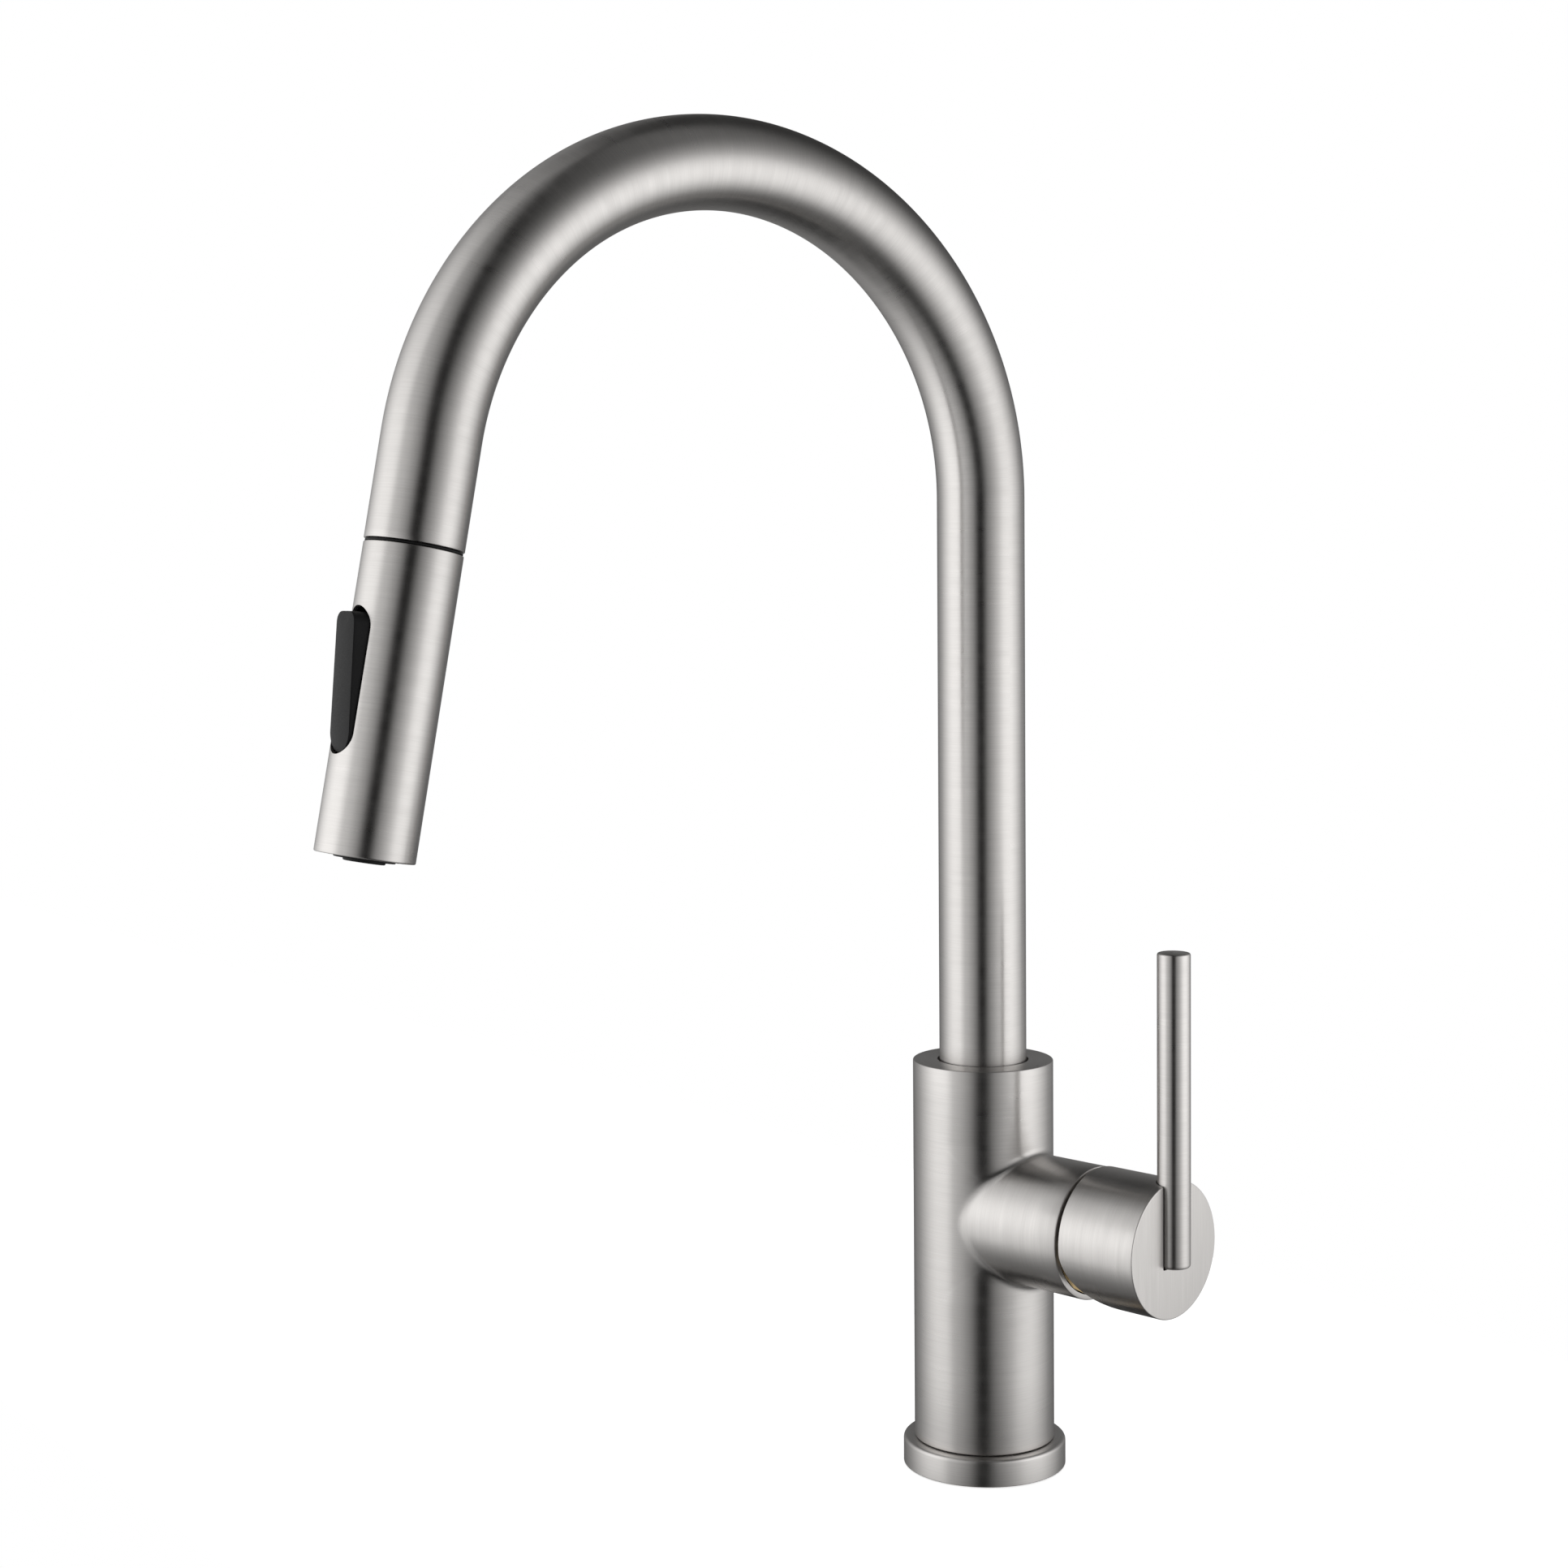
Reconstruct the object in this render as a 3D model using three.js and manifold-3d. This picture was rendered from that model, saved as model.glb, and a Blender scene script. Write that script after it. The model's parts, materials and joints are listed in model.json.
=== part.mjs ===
// Pull-down kitchen faucet: one-hole body with a side lever, a swivelling gooseneck spout,
// a hose-mounted spray head with a rocker switch, and the hardware that clamps it to a deck.
// Millimetres, +Z up. Origin: centre of the base ring's underside, on the deck.
// The spout reaches towards -Y; the handle's axis leaves towards +X, turned by HANDLE_TURN.

import * as THREE from 'three';
import { mergeVertices } from 'three/addons/utils/BufferGeometryUtils.js';
import Module from 'manifold-3d';

const wasm = await Module();
wasm.setup();

// ---- driving dimensions --------------------------------------------------------------

const GAP = 0.3; // between pieces that touch

const BASE_R = 26.2; // base ring
const BASE_H = 8.6;
const BODY_R = 22.6; // upright body
const BODY_TOP = 131.5;
const BODY_BORE = 20.4; // lower bore, around the valve core
const BUSH_BORE = 17.2; // upper bore, around the spout's bushes
const BUSH_BORE_START = 102.4;
const LIP_BORE = 14.7; // where the spout leaves the body
const LIP_H = 3;

const HANDLE_TURN = THREE.MathUtils.degToRad(9.25); // handle axis, turned from +X towards +Y
const HUB_Z = 82.7; // height of the handle axis
const BRANCH_R = 20.8;
const BRANCH_BORE = 19.1;
const BRANCH_END = 46.3; // along the handle axis, from the body's axis
const HUB_R = 21.1;
const HUB_START = 47.8;
const HUB_END = 76;
const HUB_CAVITY_R = 18;
const HUB_CAVITY_END = 60;
const PIVOT_AT = 48; // lever pivot, along the handle axis
const LEVER_R = 5.1;
const LEVER_TOP = 91; // above the handle axis
const LEVER_BOTTOM = -5.3;

const TUBE_R = 14; // spout tube
const TUBE_BORE = 12.8;
const TUBE_FOOT = 107.7; // lower end, inside the body
const SPRING_Z = 312; // where the riser starts to bend
const BEND_1 = 99; // centre-line radius of the arch
const BEND_2 = 104; // and of its outer shoulder
const TURN_1 = THREE.MathUtils.degToRad(130); // how far the first radius runs
const TILT = THREE.MathUtils.degToRad(11); // outlet leg, from the vertical
const LEG = 30.8; // straight leg, down to the seam

const HEAD_R_TOP = 13.9; // spray head
const HEAD_R = 14;
const HEAD_L = 86.3;
const HEAD_WALL = 1.3;
const SEAM_H = 1; // dark line between spout and head
const SLOT_TOP = 18.5; // rocker slot, down from the seam
const SLOT_L = 41;
const SLOT_HALF_W = 6.3;

const HOSE_R = 5.5;
const HOSE_BORE = 3.5;
const HOSE_AT = -8.2; // beside the valve core, along the handle axis

const DECK = 30; // thickness of the deck it is clamped to
const SHANK_R = 16.5;
const SHANK_BORE = 14.3;
const SHANK_END = -58;

// Sides of round pieces.
const FINE = 32;
const INNER = 20;
const SMALL = 10;

// ---- materials -----------------------------------------------------------------------

const material = (color, metalness, roughness) =>
  new THREE.MeshStandardMaterial({ color, metalness, roughness });

const STEEL = () => material(0xc9c4bf, 1, 0.32);
const BRASS = () => material(0xb9954f, 1, 0.35);
const COPPER = () => material(0xb4714a, 1, 0.3);
const ZINC = () => material(0x9ea1a3, 1, 0.45);
const BLACK = () => material(0x141414, 0, 0.45);
const RUBBER = () => material(0x1c1c1c, 0, 0.8);
const ACETAL = () => material(0xe7e4dc, 0, 0.4);
const CERAMIC = () => material(0xf2efe9, 0, 0.2);
const BRAID = () => material(0x6f7377, 0.4, 0.5);

// ---- solids --------------------------------------------------------------------------

// A closed three.js geometry as a solid whose faces point out.
function solid(geometry) {
  const bare = geometry.index ? geometry.toNonIndexed() : geometry.clone();
  bare.deleteAttribute('normal');
  bare.deleteAttribute('uv');
  const merged = mergeVertices(bare, 1e-4);
  const points = merged.attributes.position.array;
  const index = Array.from(merged.index.array);
  const triangles = [];
  let volume = 0;
  const corner = (i) => new THREE.Vector3().fromArray(points, 3 * i);
  for (let i = 0; i < index.length; i += 3) {
    const [a, b, c] = index.slice(i, i + 3);
    if (a === b || b === c || c === a) continue;
    triangles.push(a, b, c);
    volume += corner(a).dot(corner(b).cross(corner(c)));
  }
  if (volume < 0) triangles.reverse();
  return new wasm.Manifold(
    new wasm.Mesh({
      numProp: 3,
      vertProperties: new Float32Array(points),
      triVerts: new Uint32Array(triangles),
    }),
  );
}

// Turns an outline of [radius, height] points about Z. It closes itself off the axis.
function turned(outline, segments = INNER) {
  const points = outline.map(([r, z]) => new THREE.Vector2(r, z));
  const [first, last] = [points[0], points[points.length - 1]];
  if (first.x > 0 || last.x > 0) points.push(first.clone());
  return solid(new THREE.LatheGeometry(points, segments).rotateX(Math.PI / 2));
}

const rod = (r, z0, z1, segments) =>
  turned([[0, z0], [r, z0], [r, z1], [0, z1]], segments);

const sleeve = (bore, r, z0, z1, segments) =>
  turned([[bore, z0], [r, z0], [r, z1], [bore, z1]], segments);

// A round rod between two points.
function rodBetween(r, from, to, segments = SMALL) {
  const start = new THREE.Vector3(...from);
  const along = new THREE.Vector3(...to).sub(start);
  const length = along.length();
  const turn = new THREE.Quaternion().setFromUnitVectors(
    new THREE.Vector3(0, 1, 0),
    along.normalize(),
  );
  const geometry = new THREE.CylinderGeometry(r, r, length, segments)
    .translate(0, length / 2, 0)
    .applyQuaternion(turn)
    .translate(...start.toArray());
  return solid(geometry);
}

function block(x0, x1, y0, y1, z0, z1) {
  const geometry = new THREE.BoxGeometry(x1 - x0, y1 - y0, z1 - z0);
  return solid(geometry.translate((x0 + x1) / 2, (y0 + y1) / 2, (z0 + z1) / 2));
}

// A prism of the given [x, y] outline, standing on z = 0.
function prism(outline, height) {
  const shape = new THREE.Shape(outline.map(([x, y]) => new THREE.Vector2(x, y)));
  return solid(new THREE.ExtrudeGeometry(shape, { depth: height, bevelEnabled: false }));
}

// A path that is stepped through by its own parameter, so straight runs take one step.
class Route extends THREE.Curve {
  constructor(stations) {
    super();
    this.stations = stations;
  }
  getPoint(t) {
    const place = t * (this.stations.length - 1);
    const i = Math.min(Math.floor(place), this.stations.length - 2);
    return this.stations[i].clone().lerp(this.stations[i + 1], place - i);
  }
  getPointAt(u) {
    return this.getPoint(u);
  }
  // The tangent bisects the corner at a station, so the section keeps its width.
  getTangentAt(u) {
    const last = this.stations.length - 1;
    const i = Math.round(u * last);
    const before = this.stations[Math.max(i - 1, 0)];
    const here = this.stations[i];
    const after = this.stations[Math.min(i + 1, last)];
    const tangent = new THREE.Vector3();
    if (i > 0) tangent.add(here.clone().sub(before).normalize());
    if (i < last) tangent.add(after.clone().sub(here).normalize());
    return tangent.normalize();
  }
}

function pipe(stations, r, bore, sides) {
  const section = new THREE.Shape().absarc(0, 0, r, 0, 2 * Math.PI, false);
  if (bore) section.holes.push(new THREE.Path().absarc(0, 0, bore, 0, 2 * Math.PI, true));
  const geometry = new THREE.ExtrudeGeometry(section, {
    curveSegments: sides / 2,
    steps: stations.length - 1,
    extrudePath: new Route(stations),
  });
  return solid(geometry);
}

function addPiece(parent, name, body, finish) {
  const { numProp, vertProperties, triVerts } = body.getMesh();
  const positions = new Float32Array((vertProperties.length / numProp) * 3);
  for (let i = 0; i < positions.length; i += 1) {
    positions[i] = vertProperties[Math.floor(i / 3) * numProp + (i % 3)];
  }
  const geometry = new THREE.BufferGeometry();
  geometry.setAttribute('position', new THREE.BufferAttribute(positions, 3));
  geometry.setIndex(Array.from(triVerts));
  geometry.computeVertexNormals();
  const mesh = new THREE.Mesh(geometry, finish);
  mesh.name = name;
  parent.add(mesh);
}

// ---- the spout's centre line ---------------------------------------------------------

const yz = (y, z) => new THREE.Vector3(0, y, z);

function arc(centreY, centreZ, radius, from, to, steps) {
  return Array.from({ length: steps + 1 }, (_, i) => {
    const angle = from + ((to - from) * i) / steps;
    return yz(centreY + radius * Math.cos(angle), centreZ + radius * Math.sin(angle));
  });
}

const ARCH_CENTRE = yz(-BEND_1, SPRING_Z);
const SHOULDER_CENTRE = yz(
  ARCH_CENTRE.y + (BEND_1 - BEND_2) * Math.cos(TURN_1),
  ARCH_CENTRE.z + (BEND_1 - BEND_2) * Math.sin(TURN_1),
);
const LEG_TURN = Math.PI - TILT;
const LEG_START = yz(
  SHOULDER_CENTRE.y + BEND_2 * Math.cos(LEG_TURN),
  SHOULDER_CENTRE.z + BEND_2 * Math.sin(LEG_TURN),
);
const OUTFLOW = yz(-Math.sin(TILT), -Math.cos(TILT));
const SEAM = LEG_START.clone().addScaledVector(OUTFLOW, LEG);

function archStations() {
  const { y, z } = ARCH_CENTRE;
  const first = arc(y, z, BEND_1, 0, TURN_1, 20);
  const second = arc(SHOULDER_CENTRE.y, SHOULDER_CENTRE.z, BEND_2, TURN_1, LEG_TURN, 6);
  return [...first, ...second.slice(1)];
}

// ---- groups: each holds the pieces that share a local frame --------------------------

const faucet = new THREE.Group();
faucet.name = 'pull_down_faucet';

// Local Z runs along the handle axis and local -X points up.
const mixer = new THREE.Group();
mixer.rotation.set(0, 0, HANDLE_TURN);
const handleAxis = new THREE.Group();
handleAxis.position.z = HUB_Z;
handleAxis.rotation.y = Math.PI / 2;
mixer.add(handleAxis);

// Local Z runs back up the outlet leg from the seam, and local -Y faces the front.
const outlet = new THREE.Group();
outlet.position.copy(SEAM);
outlet.rotation.x = -TILT;

faucet.add(mixer, outlet);

// A solid made along the handle axis, moved into the mixer's upright frame.
const alongHandle = (body) => body.rotate([0, 90, 0]).translate([0, 0, HUB_Z]);

// ---- deck hardware -------------------------------------------------------------------

function addDeckHardware() {
  const ringEdge = 1.2;
  const grooveIn = 22.6;
  const grooveOut = 24.6;
  const grooveH = 1.3;
  const ring = turned([
    [SHANK_R + GAP, 0],
    [grooveIn, 0],
    [grooveIn, grooveH],
    [grooveOut, grooveH],
    [grooveOut, 0],
    [BASE_R, 0],
    [BASE_R, BASE_H - ringEdge],
    [BASE_R - ringEdge, BASE_H],
    [SHANK_R + GAP, BASE_H],
  ], FINE);
  addPiece(faucet, 'base_ring', ring, STEEL());
  const gasket = sleeve(grooveIn + GAP, grooveOut - GAP, 0, grooveH - GAP);
  addPiece(faucet, 'base_gasket', gasket, RUBBER());

  const flangeZ = BASE_H + 1.4;
  const flangeTop = flangeZ + 6;
  const shank = turned([
    [SHANK_BORE, SHANK_END],
    [SHANK_R - 1, SHANK_END],
    [SHANK_R, SHANK_END + 1],
    [SHANK_R, flangeZ],
    [BODY_BORE - GAP, flangeZ],
    [BODY_BORE - GAP, flangeTop],
    [SHANK_BORE, flangeTop],
  ]);
  addPiece(faucet, 'threaded_shank', shank, BRASS());

  const washerR = 28;
  const washerBore = SHANK_R + 0.5;
  const rubberH = 3;
  const steelH = 1.8;
  const nutH = 11;
  const rubberTop = -DECK - GAP;
  const steelTop = rubberTop - rubberH - GAP;
  const nutTop = steelTop - steelH - GAP;
  const rubber = sleeve(washerBore, washerR, rubberTop - rubberH, rubberTop);
  addPiece(faucet, 'rubber_washer', rubber, RUBBER());
  const steel = sleeve(washerBore, washerR, steelTop - steelH, steelTop);
  addPiece(faucet, 'steel_washer', steel, ZINC());

  const screwAt = 22.2;
  const wrench = rod(27, nutTop - nutH, nutTop, 6);
  let nut = wrench.subtract(rod(SHANK_R + GAP, nutTop - nutH - 1, nutTop + 1, INNER));
  for (const side of [-1, 1]) {
    const hole = rod(2.5, nutTop - nutH - 1, nutTop + 1, SMALL);
    nut = nut.subtract(hole.translate([side * screwAt, 0, 0]));
  }
  addPiece(faucet, 'mounting_nut', nut, BRASS());
  for (const side of [-1, 1]) {
    const tip = nutTop - 0.2;
    const screw = rod(4, tip - 20, tip - 16, SMALL).add(rod(2.2, tip - 16.1, tip, SMALL));
    const slot = block(-5, 5, -0.6, 0.6, tip - 21, tip - 18.5);
    const name = side < 0 ? 'clamp_screw_left' : 'clamp_screw_right';
    addPiece(faucet, name, screw.subtract(slot).translate([side * screwAt, 0, 0]), ZINC());
  }
}

// ---- body and valve core -------------------------------------------------------------

function addBody() {
  const bottom = BASE_H + GAP;
  const branch = alongHandle(rod(BRANCH_R, 0, BRANCH_END, FINE));
  const upright = rod(BODY_R, bottom, BODY_TOP, FINE);
  const bore = turned([
    [0, bottom - 1],
    [BODY_BORE, bottom - 1],
    [BODY_BORE, BUSH_BORE_START],
    [BUSH_BORE, BUSH_BORE_START],
    [BUSH_BORE, BODY_TOP - LIP_H],
    [LIP_BORE, BODY_TOP - LIP_H],
    [LIP_BORE, BODY_TOP + 1],
    [0, BODY_TOP + 1],
  ], FINE);
  const sideBore = alongHandle(rod(BRANCH_BORE, 0, BRANCH_END + 1, FINE));
  const shell = upright.add(branch).subtract(bore.add(sideBore));
  addPiece(mixer, 'body_shell', shell, STEEL());
}

const CORE_FLOOR = 14; // seat of the cartridge, along the handle axis
const CORE_CUP_R = 18.8;
const CORE_CUP_BORE = 17.3;
const PORT_R = 2.4;
// Supply and outlet pipes below the core: [name, along the handle axis, across, bottom end].
const PIPES = [
  ['hot', 4.5, -8.6, -74],
  ['cold', 4.5, 8.6, -74],
  ['outlet', 9.9, 0, -92],
];
const PIPE_R = 4;
// Where each pipe's port opens on the cartridge seat: [above the axis, across].
const SEAT_PORTS = { hot: [-5.2, -7.4], cold: [-5.2, 7.4], outlet: [8.6, 0] };

function addValveCore() {
  const cup = alongHandle(rod(CORE_CUP_R, 9.5, BRANCH_END - GAP, INNER));
  const hollow = alongHandle(rod(CORE_CUP_BORE, CORE_FLOOR, BRANCH_END, INNER));
  const saddle = block(-1.2, 16, -13.5, 13.5, 38, 74).intersect(rod(BODY_BORE - GAP, 37, 75));
  let core = cup.add(saddle).subtract(hollow);
  for (const [name, x, y] of PIPES) {
    const [up, across] = SEAT_PORTS[name];
    const socket = rod(PIPE_R + GAP, 37, 44, INNER).translate([x, y, 0]);
    const mouth = [CORE_FLOOR + 1.5, across, HUB_Z + up];
    const rise = rodBetween(PORT_R, [x, y, 42], [x, y, 58]);
    const slant = rodBetween(PORT_R, [x, y, 56], mouth);
    core = core.subtract(socket.add(rise).add(slant));
  }
  addPiece(mixer, 'valve_core', core, BRASS());

  for (const [name, x, y, bottom] of PIPES) {
    const stem = sleeve(PIPE_R - 1.1, PIPE_R, bottom + 10, 44 - GAP, INNER);
    addPiece(mixer, `${name}_pipe`, stem.translate([x, y, 0]), COPPER());
    const fitting = turned([
      [PIPE_R - 1.1, bottom],
      [5, bottom],
      [5, bottom + 9],
      [5.6, bottom + 9],
      [5.6, bottom + 14],
      [PIPE_R + GAP, bottom + 14],
      [PIPE_R + GAP, bottom + 10 - GAP],
      [PIPE_R - 1.1, bottom + 10 - GAP],
    ], INNER);
    addPiece(mixer, `${name}_fitting`, fitting.translate([x, y, 0]), BRASS());
  }
}

// ---- spout bearings, fixed in the body -----------------------------------------------

function addSpoutBearings() {
  const bushBore = TUBE_R + 0.25;
  const bushR = BUSH_BORE - GAP;
  const upperTop = BODY_TOP - LIP_H - GAP;
  addPiece(faucet, 'upper_bush', sleeve(bushBore, bushR, upperTop - 7, upperTop), ACETAL());
  addPiece(faucet, 'lower_bush', sleeve(bushBore, bushR, TUBE_FOOT + GAP, TUBE_FOOT + 6), ACETAL());
}

// ---- cartridge: sits in the core's cup, along the handle axis ------------------------

const BASE_PLATE = [CORE_FLOOR + GAP, 18.5];
const FIXED_DISC = [18.8, 22.3];
const MOVING_DISC = [22.6, 26];
const CARRIER = [26.3, 34.4];
const ROTOR = [34.9, 40.4];
const HOUSING_TOP = 43.4;
const PIVOT_PIN_R = 1.5;
const STEM_TIP = 32.6;

function addCartridge() {
  const ports = (r, z0, z1) =>
    Object.values(SEAT_PORTS).map(([up, across]) => rod(r, z0, z1, SMALL).translate([-up, across, 0]));
  const cutPorts = (body, r, z0, z1) => ports(r, z0, z1).reduce((b, port) => b.subtract(port), body);

  const portR = 2.6;
  const sealR = 4;
  const plate = cutPorts(rod(17, ...BASE_PLATE, INNER), portR, 10, 30);
  const seatDepth = BASE_PLATE[0] + 1.7;
  addPiece(handleAxis, 'cartridge_base', cutPorts(plate, sealR, 10, seatDepth), BLACK());
  for (const [name, [up, across]] of Object.entries(SEAT_PORTS)) {
    const seal = sleeve(2.3, sealR - GAP, CORE_FLOOR + GAP, seatDepth - GAP, INNER);
    addPiece(handleAxis, `${name}_seal`, seal.translate([-up, across, 0]), RUBBER());
  }
  const disc = cutPorts(rod(13.9, ...FIXED_DISC, INNER), portR, 10, 30);
  addPiece(handleAxis, 'fixed_disc', disc, CERAMIC());

  const housing = turned([
    [14.2, FIXED_DISC[0]],
    [17, FIXED_DISC[0]],
    [17, HOUSING_TOP],
    [9.9, HOUSING_TOP],
    [9.9, ROTOR[1] + 0.4],
    [14.2, ROTOR[1] + 0.4],
  ]);
  addPiece(handleAxis, 'cartridge_housing', housing, ACETAL());

  const nutStart = HOUSING_TOP + GAP;
  const nut = sleeve(10.2, CORE_CUP_BORE - GAP, nutStart, BRANCH_END - GAP);
  const spannerSlot = block(-18, 18, -1.5, 1.5, nutStart + 1.2, BRANCH_END);
  addPiece(handleAxis, 'cartridge_nut', nut.subtract(spannerSlot), BRASS());

  // The carrier and the moving disc slide up and down inside the housing.
  const pocket = block(-5, 5, -3.2, 3.2, MOVING_DISC[0] - 1, MOVING_DISC[0] + 1.6);
  addPiece(handleAxis, 'moving_disc', rod(9, ...MOVING_DISC, INNER).subtract(pocket), CERAMIC());
  const socket = block(-3.2, 3.2, -3.2, 3.2, STEM_TIP - 1.5, CARRIER[1] + 1);
  addPiece(handleAxis, 'disc_carrier', rod(8.8, ...CARRIER, INNER).subtract(socket), BLACK());

  // The rotor turns in the housing's neck and carries the lever pivot.
  const rotorEnd = PIVOT_AT + 3.5;
  const rotor = turned([
    [0, ROTOR[0]],
    [13.8, ROTOR[0]],
    [13.8, ROTOR[1]],
    [9.5, ROTOR[1]],
    [9.5, rotorEnd],
    [0, rotorEnd],
  ], INNER);
  const slot = block(-8, 8, -4.4, 4.4, ROTOR[0] - 1, rotorEnd + 1);
  const pinHole = rodBetween(PIVOT_PIN_R + GAP, [0, -12, PIVOT_AT], [0, 12, PIVOT_AT]);
  addPiece(handleAxis, 'cartridge_rotor', rotor.subtract(slot.add(pinHole)), ACETAL());
  const pin = rodBetween(PIVOT_PIN_R, [0, -9, PIVOT_AT], [0, 9, PIVOT_AT]);
  addPiece(handleAxis, 'pivot_pin', pin, ZINC());
}

// ---- handle --------------------------------------------------------------------------

function addHandle() {
  const stemHalf = 4;
  const stemEnd = 67;
  const tip = solid(new THREE.SphereGeometry(2.7, SMALL, 6).translate(0, 0, STEM_TIP + 2.7));
  const shaft = block(-2, 2, -2, 2, STEM_TIP + 2, PIVOT_AT - 3.5);
  const square = block(-stemHalf, stemHalf, -stemHalf, stemHalf, PIVOT_AT - 4.5, stemEnd);
  const pinHole = rodBetween(PIVOT_PIN_R + GAP, [0, -6, PIVOT_AT], [0, 6, PIVOT_AT]);
  const stem = tip.add(shaft).add(square).subtract(pinHole);
  addPiece(handleAxis, 'cartridge_stem', stem, ZINC());

  // The hub's lower inner edge is rounded off so that it clears the branch when lifted.
  const fullHub = rod(HUB_R, HUB_START, HUB_END, FINE);
  const heelAt = HUB_START + HUB_R;
  const heel = rodBetween(HUB_R, [0, -HUB_R - 1, heelAt], [0, HUB_R + 1, heelAt], FINE);
  const keep = heel
    .add(block(-HUB_R - 1, 0, -HUB_R - 1, HUB_R + 1, HUB_START - 1, heelAt))
    .add(block(-HUB_R - 1, HUB_R + 1, -HUB_R - 1, HUB_R + 1, heelAt, HUB_END + 1));
  const cavity = rod(HUB_CAVITY_R, HUB_START - 1, HUB_CAVITY_END, INNER);
  const stemSocket = block(-4.3, 4.3, -4.3, 4.3, HUB_CAVITY_END - 1, stemEnd + GAP);
  const grubAt = 63.5;
  const grubHole = rodBetween(2.7, [0, 0, grubAt], [HUB_R + 1, 0, grubAt]);
  const screwUp = 11.5;
  const screwHole = rod(2.1, HUB_CAVITY_END - 1, HUB_END, SMALL).translate([-screwUp, 0, 0]);
  const groove = rodBetween(
    LEVER_R + GAP,
    [-LEVER_TOP, 0, HUB_END],
    [-LEVER_BOTTOM + GAP, 0, HUB_END],
    32,
  );
  const hub = fullHub
    .intersect(keep)
    .subtract(cavity)
    .subtract(stemSocket)
    .subtract(grubHole)
    .subtract(screwHole)
    .subtract(groove);
  addPiece(handleAxis, 'handle_hub', hub, STEEL());

  const lever = rodBetween(LEVER_R, [-LEVER_TOP, 0, HUB_END], [-LEVER_BOTTOM, 0, HUB_END], INNER);
  const thread = rod(2.1, HUB_END - LEVER_R - 1, HUB_END - 1, SMALL).translate([-screwUp, 0, 0]);
  addPiece(handleAxis, 'lever_rod', lever.subtract(thread), STEEL());

  const screw = turned([
    [0, HUB_CAVITY_END - 3],
    [3.2, HUB_CAVITY_END - 3],
    [3.2, HUB_CAVITY_END - GAP],
    [1.8, HUB_CAVITY_END - GAP],
    [1.8, HUB_END - 1 - GAP],
    [0, HUB_END - 1 - GAP],
  ], SMALL);
  addPiece(handleAxis, 'lever_screw', screw.translate([-screwUp, 0, 0]), ZINC());

  const grub = rodBetween(2.4, [stemHalf + GAP, 0, grubAt], [14, 0, grubAt]);
  const hexSocket = solid(new THREE.CylinderGeometry(1.3, 1.3, 6, 6).rotateZ(Math.PI / 2));
  addPiece(handleAxis, 'grub_screw', grub.subtract(hexSocket.translate([14, 0, grubAt])), ZINC());
  const plug = rodBetween(2.4, [14 + GAP, 0, grubAt], [HUB_R - 0.4, 0, grubAt]);
  addPiece(handleAxis, 'grub_plug', plug, BLACK());
}

// ---- spout ---------------------------------------------------------------------------

function addSpout() {
  const legEnd = SEAM.clone().addScaledVector(OUTFLOW, -SEAM_H / 2);
  const line = [yz(0, TUBE_FOOT), ...archStations(), legEnd];
  addPiece(faucet, 'spout_tube', pipe(line, TUBE_R, TUBE_BORE, 18), STEEL());

  // A brass foot inside the tube, with a flange that the lower bush holds down.
  const foot = turned([
    [10.2, TUBE_FOOT - 4.5],
    [16.6, TUBE_FOOT - 4.5],
    [16.6, TUBE_FOOT - GAP],
    [TUBE_BORE - GAP, TUBE_FOOT - GAP],
    [TUBE_BORE - GAP, TUBE_FOOT + 9],
    [10.2, TUBE_FOOT + 9],
  ]);
  addPiece(faucet, 'spout_foot', foot, BRASS());

  const magnetH = 5;
  const collar = turned([
    [9, -SEAM_H / 2 + 0.2],
    [9.8, -SEAM_H / 2 + 0.2],
    [9.8, magnetH + 2 * GAP],
    [11.6, magnetH + 2 * GAP],
    [11.6, -SEAM_H / 2 + 0.2],
    [TUBE_R - 0.4, -SEAM_H / 2 + 0.2],
    [TUBE_R - 0.4, SEAM_H / 2 - GAP],
    [TUBE_BORE - GAP, SEAM_H / 2 - GAP],
    [TUBE_BORE - GAP, 22],
    [10.5, 22],
    [9, 18],
  ]);
  addPiece(outlet, 'dock_collar', collar, BLACK());
  const magnet = sleeve(9.8 + 0.2, 11.6 - 0.2, GAP, magnetH + GAP, INNER);
  addPiece(outlet, 'dock_magnet', magnet, ZINC());
}

// ---- hose ----------------------------------------------------------------------------

const LEG_HOSE = [9.6, LEG - 1.5]; // hose between ferrule and arch, up from the seam
const HOSE_SPLIT = 118; // height where the hose passes from the body into the spout

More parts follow.
